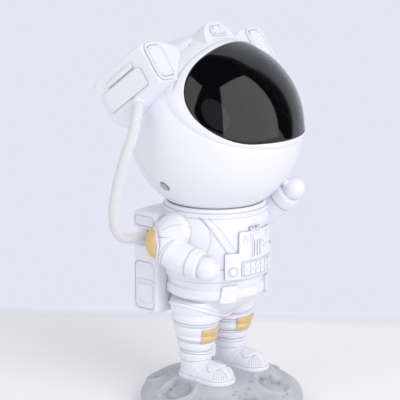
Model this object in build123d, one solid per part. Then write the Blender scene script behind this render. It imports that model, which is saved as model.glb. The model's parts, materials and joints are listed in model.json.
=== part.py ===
from build123d import *
import math
import os

# Star projector lamp in the shape of a small astronaut standing on a moon base.
# Millimetres, +Z up. The origin is the centre of the flat underside of the base pad.
# The figure faces -Y, so its own right side is -X.
# Pieces of the head are drawn level, about the head's centre, then turned to their rest tilt.

# ---------------------------------------------------------------- fits and clearances
SEAT_GAP = 0.02          # between two curved faces that are fixed to each other
RUN_FIT = 0.05           # radial clearance of a shaft in its bore
SCREW_FIT = 0.05         # radial clearance of a screw in its hole
MOVING_GAP = 0.3         # between the head, the cup and the collar
BUTTON_FIT = 0.15        # around each button in the rear cover
STOP_GAP = 0.05          # left over a switch when its button is pressed home

# ---------------------------------------------------------------- moon base
PAD_RADIUS = 42.0
PAD_THICK = 1.5
PLATE_RADIUS = 44.0
PLATE_THICK = 2.0
BASE_RADIUS = 48.0       # at the widest level
BASE_WIDEST_Z = 5.5
BASE_RIM_RADIUS = 45.5   # where the shell ends at the bottom
BASE_RIM_Z = 0.8
BASE_SHOULDER_RADIUS = 38.0
BASE_SHOULDER_Z = 15.2
BASE_TOP_Z = 20.0
BASE_KNUCKLE = (0.76, 0.38)  # how far out and down the shoulder's arc bulges, as shares of its run
BASE_WALL = 2.6
# craters of the dome: x, y, radius of the rim and depth
CRATERS = [(9.0, -29.0, 10.0, 1.5), (-33.0, 8.0, 12.0, 1.5), (-18.0, 33.0, 6.0, 1.2), (30.0, 18.0, 7.0, 1.2),
           (-14.0, -34.0, 5.0, 1.0)]
WEIGHT_RADIUS = 31.0
WEIGHT_THICK = 5.0
BASE_SCREW_CIRCLE = 38.0
BASE_BOSS_RADIUS = 3.6
SCREW_HEAD_RADIUS = 2.6
SCREW_HEAD_HEIGHT = 1.4
SCREW_RADIUS = 1.4
BASE_SCREW_GRIP = 6.0    # length of screw above the plate

# ---------------------------------------------------------------- figure
FIGURE_Y = 5.4           # the body's axis stands this far behind the base's centre
LEG_X = 15.5
LEG_Y = 6.5
SOLE_Z = 18.4
SOLE_THICK = 3.0
BOOT_LENGTH = 36.0
BOOT_WIDTH = 19.5
BOOT_HEEL_BACK = 10.0    # heel behind the leg's axis
TOE_RADIUS = 8.6
TOE_INSET = 0.5          # the upper stands this far back from the sole's edge at the toe
VAMP_RADIUS = 9.0        # of the boot's upper where it meets the ankle
ANKLE_RADIUS = 9.4
ANKLE_TOP_Z = 33.0
BOOT_SCREW_DEPTH = 7.0
BOOT_SCREW_SPACING = 14.0
BOOT_BOSS_RADIUS = 4.0
BOOT_BOSS_Z = 13.4
# levels of the padded leg: height and radius at each seam, from the ankle up
LEG_SEAMS = [(ANKLE_TOP_Z, 8.8), (36.5, 9.2), (42.3, 10.4), (46.3, 11.2), (52.3, 12.6), (59.0, 13.8),
             (67.0, 14.2)]
LEG_PUFF = 0.7           # how far each padded band swells between its seams
KNEE_PATCH_WIDTH = 13.0
KNEE_PATCH_LOW_Z = 42.5
KNEE_PATCH_HIGH_Z = 51.5
PATCH_THICK = 1.0

# torso: height and radius of its outline, from the crotch up
HIP_BOTTOM_Z = 50.6
TORSO_OUTLINE = [(6.0, HIP_BOTTOM_Z), (10.0, 52.6), (14.0, 56.0), (18.4, 60.5), (23.6, 65.5), (26.8, 70.0),
                 (27.4, 75.0), (28.6, 80.0), (29.4, 86.0), (29.8, 97.0), (29.8, 110.0), (29.3, 117.5)]
TORSO_WALL = 2.2
TORSO_BACK_Y = 31.0      # the back is flat here, as far up as the pack that is fixed to it
BELT_LOW_Z = 70.0
BELT_HIGH_Z = 75.3
BELT_RADIUS = 28.6
TAB_ANGLE = 36.0         # the two belt tabs stand this far either side of the front
TAB_WIDTH = 9.6
TAB_HEIGHT = 11.0
TAB_THICK = 1.5
TAB_Z = 72.4

CHEST_LOW_Z = 81.5
CHEST_STEP_Z = 97.0
CHEST_HIGH_Z = 109.5
CHEST_HALF_WIDTH = 19.0
CHEST_UPPER_HALF_WIDTH = 11.8
CHEST_THICK = 1.8        # proud of the torso's largest radius
KEYPAD_HALF_WIDTH = 9.8
KEYPAD_LOW_Z = 83.0
KEYPAD_HIGH_Z = 91.2
KEYPAD_THICK = 0.6
DIAL_X = -14.4
DIAL_Z = 86.2
DIAL_RADIUS = 2.9

# arms: centres of shoulder, elbow and hand of the lowered right arm
RIGHT_SHOULDER = (-27.5, 8.0, 108.5)
RIGHT_ELBOW = (-34.5, 12.0, 98.5)
RIGHT_HAND = (-30.5, -14.6, 90.3)
# the raised left arm
LEFT_SHOULDER = (27.5, 8.0, 108.5)
LEFT_ELBOW = (36.0, 9.0, 101.5)
LEFT_HAND = (42.0, -18.0, 123.8)
SHOULDER_RADIUS = 10.4
ELBOW_RADIUS = 9.3
WRIST_RADIUS = 8.2
HAND_RADIUS = 6.6
CUFF_TO_HAND = 3.6       # the cuff ends this far behind the hand's centre
THUMB_RADIUS = 2.4
THUMB_OFFSET = (-3.0, -1.5, 5.6)
ELBOW_PATCH_WIDTH = 9.1
ELBOW_PATCH_HEIGHT = 15.2
ELBOW_PATCH_REAR = 0.45  # how far the patch faces backwards, for each 1 sideways
ELBOW_PATCH_UP = 0.1     # and upwards

# ---------------------------------------------------------------- head
HEAD_Z = 163.0
HEAD_RADIUS = 49.0
CROWN_RADIUS = 43.0      # a second, smaller ball swells the top of the helmet
CROWN_Y = 2.0
CROWN_Z = 11.0
HEAD_TILT = 36.0         # rest: the face looks up by this much
HEAD_YAW = 2.5           # rest: and a little to its left
HEAD_WALL = 2.2
HELMET_SEAM_Y = 25.0     # the rear cover starts here, behind the centre
REBATE_FRONT_Y = 15.0
REBATE_THICK = 2.3
OPENING_HALF_WIDTH = 43.9
OPENING_HALF_HEIGHT = 31.2
OPENING_CORNER = 29.0
OPENING_RISE = 0.4
BEZEL_HALF_WIDTH = 46.4
BEZEL_HALF_HEIGHT = 38.2
BEZEL_CORNER = 35.2
BEZEL_RISE = 4.8
BEZEL_PROUD = 1.2
VISOR_PROUD = 0.6
VISOR_THICK = 2.0
CHEEK_X = 40.1
CHEEK_Y = 20.0
CHEEK_Z = -20.5
CHEEK_RECESS_RADIUS = 3.2
CHEEK_RECESS_DEPTH = 1.2

HOUSING_OUT_X = 52.8     # outer face of a side lamp housing
HOUSING_TOP_IN_X = 36.5  # where its flat top ends, on the inner side
HOUSING_ROOT_X = 25.0    # where its inner slope meets the helmet
HOUSING_ROOT_Z = 42.0
HOUSING_FRONT_Y = -22.0
HOUSING_REAR_Y = 21.0
HOUSING_TOP_Z = 46.8
HOUSING_FRONT_LOW_Z = 22.6
HOUSING_LOBE_Y = 10.0
HOUSING_LOBE_Z = 16.2
HOUSING_ROUND = 2.4
HOUSING_EDGE_Z = 24.5    # the outer face ends here, and the underside slants in to the helmet
HOUSING_SLANT_IN_X = 45.5
HOUSING_SLANT_LOW_Z = 14.8
HOUSING_WALL = 2.0
FACE_PLATE_X = 44.8
FACE_PLATE_Z = 34.8
FACE_PLATE_WIDTH = 12.4
FACE_PLATE_HEIGHT = 21.5
FACE_PLATE_THICK = 1.0
FACE_PLATE_CORNER = 3.4
FACE_SCREW_DX = 3.6
FACE_SCREW_DZ = 7.5
PIN_RADIUS = 0.8
PIN_HEIGHT = 0.5
SIDE_PANEL_FRONT_Y = -14.8
SIDE_PANEL_REAR_Y = 16.8
SIDE_PANEL_LOW_Z = 26.0
SIDE_PANEL_HIGH_Z = 37.6
SIDE_PANEL_THICK = 1.2
SIDE_BAR_FRONT_Y = -11.0
SIDE_BAR_REAR_Y = 11.2
SIDE_BAR_LOW_Z = 38.5
SIDE_BAR_HIGH_Z = 41.0
TOP_FRONT_Y = -32.2
TOP_REAR_Y = -14.0
TOP_Z = 48.6             # flat top of the top housing, with its half width
TOP_HALF_WIDTH = 4.6
TOP_SHOULDER_Z = 45.2    # its sides bend here
TOP_SHOULDER_HALF_WIDTH = 9.6
TOP_ROOT_Z = 37.0
TOP_ROOT_HALF_WIDTH = 13.6
TOP_PLATE_Z = 43.0
TOP_PLATE_WIDTH = 13.0
TOP_PLATE_HEIGHT = 7.6
TOP_SCREW_RISE = 1.2     # the top plate's two screws stand this far above its middle

# inside the head, along the optical axis: front is -Y
MASK_FRONT_Y = -6.0
MASK_THICK = 2.0
BARREL_RADIUS = 16.8
BARREL_BORE = 14.6
BARREL_FRONT_Y = -33.0
LENS_RADIUS = 14.0
LENS_BULGE = 4.0
LENS_BACK_Y = -16.0
LENS_EDGE = 2.0
STAR_X = -27.4
STAR_Z = -2.4
STAR_FRONT_Y = -25.0
STAR_LENS_RADIUS = 9.6
STAR_LENS_THICK = 1.0
STAR_CUP_WALL = 1.0
STAR_BODY_RADIUS = 5.0
STAR_BODY_BACK_Y = 6.0
REAR_PLATE_Y = 9.0
REAR_PLATE_THICK = 2.0
REAR_PLATE_HALF = 26.0
POST_RADIUS = 2.5
POST_PLACE = 22.5
GEAR_MODULE = 0.9
PINION_TEETH = 12
FILM_TEETH = 36
RIPPLE_TEETH = 34
RIPPLE_PINION_TEETH = 14
GEAR_THICK = 3.0
GEAR_BACKLASH = 0.22     # taken off each tooth's thickness at the pitch circle
FILM_Y = -2.6            # front face of the film gear
RIPPLE_Y = 3.6           # front face of the ripple gear
JOURNAL_RADIUS = 12.0
JOURNAL_WALL = 1.2
FILM_WINDOW_RADIUS = 10.6
FILM_INSET = 1.0         # the film disc lies this far behind the gear's front face
RIPPLE_GLASS_THICK = 1.2 # the rippled window is moulded in one piece with its gear
MOTOR_RADIUS = 6.0
MOTOR_LENGTH = 14.0
SHAFT_RADIUS = 1.0
SHAFT_IN_MOTOR = 4.0
PINION_HOLE_RADIUS = 2.2
LED_BOARD_SIZE = 22.0
LED_BOARD_THICK = 1.6
LED_RADIUS = 2.5
LED_HEIGHT = 2.0
SINK_BASE = 3.0
SINK_HEIGHT = 11.0
SINK_FINS = 6
SINK_FIN_THICK = 1.2
KEEPER_THICK = 1.5
KEEPER_HALF_ANGLE = 38.0

# ---------------------------------------------------------------- neck
COLLAR_RADIUS = 29.6
COLLAR_LIP_RADIUS = 28.6
COLLAR_STEP_Z = 119.4
COLLAR_TOP_Z = 121.6
CUP_RADIUS = 26.2
CUP_WALL = 2.2
CUP_HUB_RADIUS = 13.0
CUP_HUB_Z = 108.6
MAGNET_RADIUS = 12.0
MAGNET_THICK = 3.5
PIVOT_RADIUS = 4.0
PIVOT_LENGTH = 7.0
DECK_THICK = 3.0
DECK_BOSS_RADIUS = 9.0
DECK_Z = 100.0

# ---------------------------------------------------------------- backpack
PACK_HALF_WIDTH = 32.0
PACK_WAIST_HALF_WIDTH = 27.0
PACK_FRONT_Y = 21.5
PACK_SPLIT_Y = 37.6
PACK_REAR_Y = 40.0
PACK_LOW_Z = 56.5
PACK_LOWER_TOP_Z = 95.5
PACK_UPPER_LOW_Z = 105.9
PACK_TOP_Z = 115.6
PACK_CORNER = 2.6
PACK_WALL = 2.0
PACK_BACK_WALL = 2.0     # between the torso's flat back and the board's space
PANEL_INSET = 0.9
PANEL_CORNER = 3.4
PANEL_FRONT_Y = 23.4
PANEL_REAR_Y = 38.4
PANEL_LOW_Z = 58.6
PANEL_HIGH_Z = 86.6
PANEL_RIB_Z = 75.6       # raised rib across the recess, and the pad below it
PANEL_RIB_HEIGHT = 1.2
PANEL_RIB_PROUD = 0.5
PANEL_PAD_Z = 68.4
PANEL_PAD_HEIGHT = 10.8
PANEL_PAD_PROUD = 0.4
PANEL_PAD_MARGIN = 1.5   # between the pad and the recess's upright edges
UPPER_PANEL_LOW_Z = 107.0
UPPER_PANEL_HIGH_Z = 113.2
BOARD_HALF_WIDTH = 20.0
BOARD_LOW_Z = 60.0
BOARD_HIGH_Z = 93.0
BOARD_THICK = 1.2
SWITCH_SIZE = 5.0
SWITCH_HEIGHT = 1.2
BUTTON_SPACING = 13.0
BUTTON_Z = 78.0
BUTTON_RADIUS = 4.2
BUTTON_FLANGE_RADIUS = 5.0
BUTTON_FLANGE_THICK = 0.6
BUTTON_PROUD = 1.0
BUTTON_TRAVEL = 0.5
EYE_RADIUS = 2.4
EYE_Z = 89.0
EYE_PROUD = 1.0
USB_WIDTH = 9.0
USB_DEPTH = 3.3
USB_LENGTH = 7.4
USB_WALL = 0.35
USB_FIT = 0.05
USB_TONGUE_WIDTH = 6.6
USB_TONGUE_THICK = 0.7
USB_TONGUE_INSET = 1.0
PACK_SCREW_X = 24.5
PACK_SCREW_LOW_Z = 61.0
PACK_SCREW_HIGH_Z = 91.0
PACK_SCREW_GRIP = 6.0
PACK_BOSS_RADIUS = 3.0

# ---------------------------------------------------------------- hose
HOSE_RADIUS = 2.9
GLAND_RADIUS = 3.8
GLAND_PROUD = 2.0        # how far each gland stands out of what it is fixed in
GLAND_GRIP = 3.0         # and how far it reaches in
# route of the sleeved hose, from the pack's waist up to the right lamp housing
HOSE_LOWER = [(-29.0, 30.0, 102.0), (-41.0, 30.0, 102.0), (-51.6, 28.8, 104.2), (-59.6, 26.6, 110.8),
              (-63.8, 24.0, 121.0), (-65.2, 20.8, 132.4), (-64.8, 17.4, 143.4)]
HOSE_UPPER = [(-64.8, 17.4, 143.4), (-64.46, 14.51, 152.75), (-62.4, 11.0, 162.6), (-59.6, 10.6, 171.4),
              (-56.4, 12.2, 177.0), (-52.9, 14.8, 180.2)]

parts = {}


# ---------------------------------------------------------------- helpers
def turned(outline, centre=(0.0, 0.0)):
    """Solid of revolution about a vertical axis through centre, from (radius, height) points."""
    face = make_face(Plane.XZ * Polyline(*outline, close=True))
    return Pos(centre[0], centre[1], 0) * revolve(face, Axis.Z)


def post(radius, low, high, x=0.0, y=0.0):
    """Vertical round bar from one height to another."""
    bar = Cylinder(radius, high - low, align=(Align.CENTER, Align.CENTER, Align.MIN))
    return Pos(x, y, low) * bar


def rod_y(radius, front, back, x=0.0, z=0.0):
    """Round bar along Y from front to back."""
    middle = (front + back) / 2
    return Pos(x, middle, z) * Rot(90, 0, 0) * Cylinder(radius, back - front)


def block(x0, x1, y0, y1, z0, z1):
    """Box between two corners."""
    centre = Pos((x0 + x1) / 2, (y0 + y1) / 2, (z0 + z1) / 2)
    return centre * Box(x1 - x0, y1 - y0, z1 - z0)


def cone_between(start, start_radius, end, end_radius):
    """Round tapered bar between two points."""
    a = Vector(*start)
    b = Vector(*end)
    bar = Cone(start_radius, end_radius, (b - a).length, align=(Align.CENTER, Align.CENTER, Align.MIN))
    return Plane(origin=a, z_dir=(b - a).normalized()).location * bar


def screw_up(x, y, seat, grip):
    """Pan-head screw pointing up, with its head below the seat height."""
    head = post(SCREW_HEAD_RADIUS, seat - SCREW_HEAD_HEIGHT, seat, x, y)
    return head + post(SCREW_RADIUS, seat, seat + grip, x, y)


def group(solids):
    """Several separate solids that share one node."""
    return Compound(children=list(solids))


def around(radius, count, phase):
    """Places on a circle about the origin, as (x, y)."""
    angles = [math.radians(phase + 360.0 * i / count) for i in range(count)]
    return [(radius * math.cos(a), radius * math.sin(a)) for a in angles]


def head_place():
    """Frame of the level head, at its rest tilt and yaw."""
    stand = Location((0, FIGURE_Y, HEAD_Z))
    return stand * Location((0, 0, 0), (0, 0, HEAD_YAW)) * Location((0, 0, 0), (-HEAD_TILT, 0, 0))


def in_head(shape):
    """Turns a piece that is drawn in the level head's frame to its place at rest."""
    return head_place() * shape


def oval_bar(half_width, half_height, corner, rise, front, back):
    """Bar along Y whose section is an oval of four tangent arcs."""
    side = half_width - corner
    top = (side ** 2 + half_height ** 2 - corner ** 2) / (2 * (half_height - corner))
    along = Vector(side, top - half_height).normalized()
    tangent = (side + corner * along.X, corner * along.Y)
    upper = ThreePointArc((-tangent[0], tangent[1]), (0, half_height), tangent)
    right = ThreePointArc(tangent, (half_width, 0), (tangent[0], -tangent[1]))
    lower = ThreePointArc((tangent[0], -tangent[1]), (0, -half_height), (-tangent[0], -tangent[1]))
    left = ThreePointArc((-tangent[0], -tangent[1]), (-half_width, 0), (-tangent[0], tangent[1]))
    face = Plane.XZ * make_face([upper, right, lower, left])
    return Pos(0, back, rise) * extrude(face, back - front)


def padded_column(seams, extra):
    """Leg of padded bands: arcs that swell between the seams, turned about the leg's axis."""
    edges = [Line((0, seams[0][0]), (seams[0][1] + extra, seams[0][0]))]
    for (low, low_radius), (high, high_radius) in zip(seams, seams[1:]):
        start = (low_radius + extra, low)
        end = (high_radius + extra, high)
        middle = ((start[0] + end[0]) / 2 + LEG_PUFF, (low + high) / 2)
        edges.append(ThreePointArc(start, middle, end))
    edges.append(Line((seams[-1][1] + extra, seams[-1][0]), (0, seams[-1][0])))
    edges.append(Line((0, seams[-1][0]), (0, seams[0][0])))
    return revolve(Plane.XZ * make_face(edges), Axis.Z)


# ---------------------------------------------------------------- moon base
def dome_solid(inset):
    """The base's filled outline: a shallow dome with a rounded edge, set in by a wall."""
    top = BASE_TOP_Z - inset
    shoulder = (BASE_SHOULDER_RADIUS - inset / 2, BASE_SHOULDER_Z - inset)
    widest = (BASE_RADIUS - inset, BASE_WIDEST_Z)
    rim = (BASE_RIM_RADIUS - inset, BASE_RIM_Z)
    half = (shoulder[0] / 2, top - (top - shoulder[1]) / 4)
    knuckle = (shoulder[0] + BASE_KNUCKLE[0] * (widest[0] - shoulder[0]),
               shoulder[1] - BASE_KNUCKLE[1] * (shoulder[1] - widest[1]))
    edges = [
        ThreePointArc((0, top), half, shoulder),
        ThreePointArc(shoulder, knuckle, widest),
        Line(widest, rim),
        Line(rim, (0, BASE_RIM_Z)),
        Line((0, BASE_RIM_Z), (0, top)),
    ]
    return revolve(Plane.XZ * make_face(edges), Axis.Z)


def boot_footprint(side, grow):
    """Outline of one sole, as a flat face at height zero."""
    middle = LEG_Y + BOOT_HEEL_BACK - BOOT_LENGTH / 2
    straight = BOOT_LENGTH - BOOT_WIDTH
    shape = SlotCenterToCenter(straight, BOOT_WIDTH + 2 * grow, rotation=90)
    return Pos(side * LEG_X, middle, 0) * shape


def boot_screw_places():
    """Two screws up into each boot, one under the heel and one under the ball of the foot."""
    middle = LEG_Y + BOOT_HEEL_BACK - BOOT_LENGTH / 2
    offsets = (-BOOT_SCREW_SPACING / 2, BOOT_SCREW_SPACING / 2)
    return [(side * LEG_X, middle + dy) for side in (-1, 1) for dy in offsets]


def crater(x, y, rim_radius, depth):
    """Ball that cuts a round crater of the given rim radius and depth into the dome."""
    ball = (rim_radius ** 2 + depth ** 2) / (2 * depth)
    surface = BASE_TOP_Z - (BASE_TOP_Z - BASE_SHOULDER_Z) * (math.hypot(x, y) / BASE_SHOULDER_RADIUS) ** 2
    return Pos(x, y, surface - depth + ball) * Sphere(ball)


def make_base():
    shell = dome_solid(0.0) - dome_solid(BASE_WALL)
    plate_space = post(PLATE_RADIUS + SEAT_GAP, 0, PAD_THICK + PLATE_THICK)
    shell = shell - plate_space
    for x, y, rim, depth in CRATERS:
        shell = shell - crater(x, y, rim, depth)
    inside = dome_solid(BASE_WALL / 2)
    plate_top = PAD_THICK + PLATE_THICK
    for x, y in around(BASE_SCREW_CIRCLE, 4, 45):
        boss = post(BASE_BOSS_RADIUS, plate_top, BASE_TOP_Z, x, y) & inside
        shell = shell + boss - post(SCREW_RADIUS + SCREW_FIT, 0, plate_top + BASE_SCREW_GRIP, x, y)
    for x, y in boot_screw_places():
        boss = post(BOOT_BOSS_RADIUS, BOOT_BOSS_Z, BASE_TOP_Z, x, y) & inside
        shell = shell + boss - post(SCREW_RADIUS + SCREW_FIT, 0, BASE_TOP_Z, x, y)
    for side in (-1, 1):
        shell = shell - Pos(0, 0, SOLE_Z) * extrude(boot_footprint(side, SEAT_GAP), BASE_TOP_Z)
    parts["moon_base_shell"] = shell

    head_room = SCREW_HEAD_HEIGHT + RUN_FIT
    plate = post(PLATE_RADIUS, PAD_THICK, plate_top)
    screws = []
    for x, y in around(BASE_SCREW_CIRCLE, 4, 45):
        plate = plate - post(SCREW_HEAD_RADIUS + SCREW_FIT, PAD_THICK, PAD_THICK + head_room, x, y)
        plate = plate - post(SCREW_RADIUS + SCREW_FIT, PAD_THICK, plate_top, x, y)
        screws.append(screw_up(x, y, PAD_THICK + head_room, BASE_SCREW_GRIP))
    parts["base_bottom_plate"] = plate
    parts["base_screws"] = group(screws)
    parts["base_pad"] = post(PAD_RADIUS, 0, PAD_THICK)
    parts["base_weight"] = post(WEIGHT_RADIUS, plate_top, plate_top + WEIGHT_THICK)
    grip = SOLE_Z - BOOT_BOSS_Z + BOOT_SCREW_DEPTH
    parts["boot_screws"] = group([screw_up(x, y, BOOT_BOSS_Z, grip) for x, y in boot_screw_places()])


# ---------------------------------------------------------------- legs and boots
def boot(side):
    x = side * LEG_X
    heel = LEG_Y + BOOT_HEEL_BACK
    toe = heel - BOOT_LENGTH
    sole = Pos(0, 0, SOLE_Z) * extrude(boot_footprint(side, 0.0), SOLE_THICK)
    top = SOLE_Z + SOLE_THICK
    ankle = post(ANKLE_RADIUS, top, ANKLE_TOP_Z, x, LEG_Y)
    tip = (x, toe + TOE_INSET + TOE_RADIUS, top)
    vamp = cone_between(tip, TOE_RADIUS, (x, LEG_Y, top), VAMP_RADIUS)
    upper = (Pos(*tip) * Sphere(TOE_RADIUS) + vamp) - post(2 * BOOT_LENGTH, 0, top, x, LEG_Y)
    whole = sole + upper + ankle
    for sx, sy in boot_screw_places():
        if sx * side > 0:
            hole_top = SOLE_Z + BOOT_SCREW_DEPTH + STOP_GAP
            whole = whole - post(SCREW_RADIUS + SCREW_FIT, SOLE_Z, hole_top, sx, sy)
    return whole


def leg_solid(side, extra):
    return Pos(side * LEG_X, LEG_Y, 0) * padded_column(LEG_SEAMS, extra)


def knee_patch(side):
    x = side * LEG_X
    half = KNEE_PATCH_WIDTH / 2
    window = block(x - half, x + half, LEG_Y - BOOT_LENGTH, LEG_Y, KNEE_PATCH_LOW_Z, KNEE_PATCH_HIGH_Z)
    return (leg_solid(side, PATCH_THICK) & window) - leg_solid(side, SEAT_GAP)


# ---------------------------------------------------------------- torso
def torso_envelope(grow):
    """Filled outline of the torso with its flat back, grown all round by a distance."""
    low = TORSO_OUTLINE[0][1] - grow
    high = TORSO_OUTLINE[-1][1]
    outline = [(0, low), (TORSO_OUTLINE[0][0] + grow, low)]
    outline += [(radius + grow, height) for radius, height in TORSO_OUTLINE[1:]]
    outline += [(0, high)]
    return turned(outline, (0, FIGURE_Y)) - behind_flat_back(grow)


def behind_flat_back(grow):
    """Space behind the torso's flat back, up to the top of the pack."""
    reach = COLLAR_RADIUS * 2
    return block(-reach, reach, TORSO_BACK_Y + grow, reach, 0, PACK_TOP_Z)


def torso_cavity(shrink):
    """Hollow inside the torso, made smaller all round by a distance."""
    wall = TORSO_WALL + shrink
    outline = [(0, TORSO_OUTLINE[0][1] + wall)]
    outline += [(radius - wall, height + wall) for radius, height in TORSO_OUTLINE[:-1]]
    outline += [(TORSO_OUTLINE[-1][0] - wall, TORSO_OUTLINE[-1][1]), (0, TORSO_OUTLINE[-1][1])]
    return turned(outline, (0, FIGURE_Y)) - behind_flat_back(-wall)


def make_torso():
    solid = torso_envelope(0.0) - torso_cavity(0.0)
    reach = COLLAR_RADIUS * 2
    front = solid & block(-reach, reach, -reach, FIGURE_Y, 0, HEAD_Z)
    rear = solid & block(-reach, reach, FIGURE_Y, reach, 0, HEAD_Z)
    parts["torso_front_shell"] = front
    parts["torso_rear_shell"] = rear

    envelope = torso_envelope(SEAT_GAP)
    for side, name in ((-1, "right"), (1, "left")):
        parts[name + "_boot"] = boot(side)
        parts[name + "_leg"] = leg_solid(side, 0.0) - envelope
    parts["knee_patches"] = group([knee_patch(side) - envelope for side in (-1, 1)])

    belt = turned([(0, BELT_LOW_Z), (BELT_RADIUS, BELT_LOW_Z), (BELT_RADIUS, BELT_HIGH_Z), (0, BELT_HIGH_Z)],
                  (0, FIGURE_Y))
    belt = belt & block(-reach, reach, -reach, PACK_FRONT_Y - SEAT_GAP, 0, HEAD_Z)
    parts["belt"] = belt - envelope
    parts["belt_tabs"] = group([belt_tab(side) - envelope for side in (-1, 1)])


def belt_tab(side):
    """Flat tab that hangs over the belt at one side of the front."""
    tab = Pos(0, -(BELT_RADIUS + SEAT_GAP), TAB_Z) * Box(TAB_WIDTH, 2 * TAB_THICK, TAB_HEIGHT)
    place = Location((0, FIGURE_Y, 0), (0, 0, side * TAB_ANGLE))
    core = post(BELT_RADIUS + SEAT_GAP, BELT_LOW_Z - TAB_HEIGHT, BELT_HIGH_Z + TAB_HEIGHT, 0, FIGURE_Y)
    return (place * tab) - core


def make_chest_pack():
    """Stepped control pack, curved round the chest, with a keypad and a dial."""
    largest = max(radius for radius, height in TORSO_OUTLINE)
    skin = largest + CHEST_THICK
    front = -BASE_RADIUS
    body = post(skin, CHEST_LOW_Z, CHEST_HIGH_Z, 0, FIGURE_Y)
    lower = block(-CHEST_HALF_WIDTH, CHEST_HALF_WIDTH, front, FIGURE_Y, CHEST_LOW_Z, CHEST_STEP_Z)
    upper = block(-CHEST_UPPER_HALF_WIDTH, CHEST_UPPER_HALF_WIDTH, front, FIGURE_Y, CHEST_STEP_Z,
                  CHEST_HIGH_Z)
    pack = body & (lower + upper)
    keypad = post(skin + KEYPAD_THICK, KEYPAD_LOW_Z, KEYPAD_HIGH_Z, 0, FIGURE_Y)
    keypad = keypad & block(-KEYPAD_HALF_WIDTH, KEYPAD_HALF_WIDTH, front, FIGURE_Y, KEYPAD_LOW_Z,
                            KEYPAD_HIGH_Z)
    dial = post(skin + KEYPAD_THICK, CHEST_LOW_Z, CHEST_HIGH_Z, 0, FIGURE_Y)
    dial = dial & rod_y(DIAL_RADIUS, front, FIGURE_Y, DIAL_X, DIAL_Z)
    parts["chest_pack"] = pack + keypad + dial - torso_envelope(SEAT_GAP)


# ---------------------------------------------------------------- arms
def arm_solid(shoulder, elbow, hand, extra):
    """One arm: shoulder and elbow balls joined by tapered sleeves, a cuff and a round hand."""
    forearm = Vector(*hand) - Vector(*elbow)
    wrist = tuple(Vector(*hand) - forearm.normalized() * CUFF_TO_HAND)
    body = Pos(*shoulder) * Sphere(SHOULDER_RADIUS + extra)
    body += Pos(*elbow) * Sphere(ELBOW_RADIUS + extra)
    body += cone_between(shoulder, SHOULDER_RADIUS + extra, elbow, ELBOW_RADIUS + extra)
    body += cone_between(elbow, ELBOW_RADIUS + extra, wrist, WRIST_RADIUS + extra)
    body += Pos(*hand) * Sphere(HAND_RADIUS + extra)
    return body


def make_arms():
    envelope = torso_envelope(SEAT_GAP)
    collar = post(COLLAR_RADIUS + SEAT_GAP, TORSO_OUTLINE[-1][1], HEAD_Z, 0, FIGURE_Y)
    pack = pack_block(SEAT_GAP)
    patches = []
    for side, name, joints in ((-1, "right", (RIGHT_SHOULDER, RIGHT_ELBOW, RIGHT_HAND)),
                               (1, "left", (LEFT_SHOULDER, LEFT_ELBOW, LEFT_HAND))):
        arm = arm_solid(*joints, 0.0)
        if side > 0:
            thumb = [h + o for h, o in zip(LEFT_HAND, THUMB_OFFSET)]
            arm += Pos(*thumb) * Sphere(THUMB_RADIUS)
        parts[name + "_arm"] = arm - envelope - collar - pack
        elbow = joints[1]
        shell = Pos(*elbow) * Sphere(ELBOW_RADIUS + PATCH_THICK)
        across = Vector(-ELBOW_PATCH_REAR * side, 1, 0)
        facing = Vector(side, ELBOW_PATCH_REAR, ELBOW_PATCH_UP)
        window = Box(ELBOW_PATCH_WIDTH, ELBOW_PATCH_HEIGHT, 2 * ELBOW_RADIUS,
                     align=(Align.CENTER, Align.CENTER, Align.MIN))
        window = Plane(origin=elbow, x_dir=across, z_dir=facing).location * window
        patches.append((shell & window) - arm_solid(*joints, SEAT_GAP) - envelope - pack)
    parts["elbow_patches"] = group(patches)


# ---------------------------------------------------------------- neck
def make_neck():
    lip = CUP_RADIUS + MOVING_GAP
    low = TORSO_OUTLINE[-1][1]
    outline = [(lip, low), (COLLAR_RADIUS, low), (COLLAR_RADIUS, COLLAR_STEP_Z),
               (COLLAR_LIP_RADIUS, COLLAR_STEP_Z), (COLLAR_LIP_RADIUS, COLLAR_TOP_Z), (lip, COLLAR_TOP_Z)]
    collar = turned(outline, (0, FIGURE_Y))
    head_space = Pos(0, FIGURE_Y, HEAD_Z) * Sphere(HEAD_RADIUS + MOVING_GAP)
    parts["neck_collar"] = collar - head_space

    cup_inner = HEAD_RADIUS + MOVING_GAP
    cup = Sphere(cup_inner + CUP_WALL) - Sphere(cup_inner)
    cup = (Pos(0, FIGURE_Y, HEAD_Z) * cup) & post(CUP_RADIUS, DECK_Z, HEAD_Z - cup_inner / 2, 0, FIGURE_Y)
    hub_top = HEAD_Z - math.sqrt(cup_inner ** 2 - CUP_HUB_RADIUS ** 2)
    hub = post(CUP_HUB_RADIUS, CUP_HUB_Z, hub_top, 0, FIGURE_Y)
    hub = hub - Pos(0, FIGURE_Y, HEAD_Z) * Sphere(cup_inner)
    shoulder = CUP_HUB_Z - MAGNET_THICK
    pivot = post(PIVOT_RADIUS, shoulder - PIVOT_LENGTH, CUP_HUB_Z, 0, FIGURE_Y)
    parts["swivel_cup"] = cup + hub + pivot
    magnet = post(MAGNET_RADIUS, shoulder, CUP_HUB_Z, 0, FIGURE_Y)
    parts["neck_magnet"] = magnet - post(PIVOT_RADIUS + SCREW_FIT, shoulder, CUP_HUB_Z, 0, FIGURE_Y)

    thrust = shoulder - RUN_FIT
    deck = post(COLLAR_RADIUS, DECK_Z - DECK_THICK, DECK_Z, 0, FIGURE_Y) & torso_cavity(SEAT_GAP)
    deck = deck + post(DECK_BOSS_RADIUS, DECK_Z - DECK_THICK, thrust, 0, FIGURE_Y)
    parts["neck_deck"] = deck - post(PIVOT_RADIUS + RUN_FIT, 0, HEAD_Z, 0, FIGURE_Y)


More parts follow.
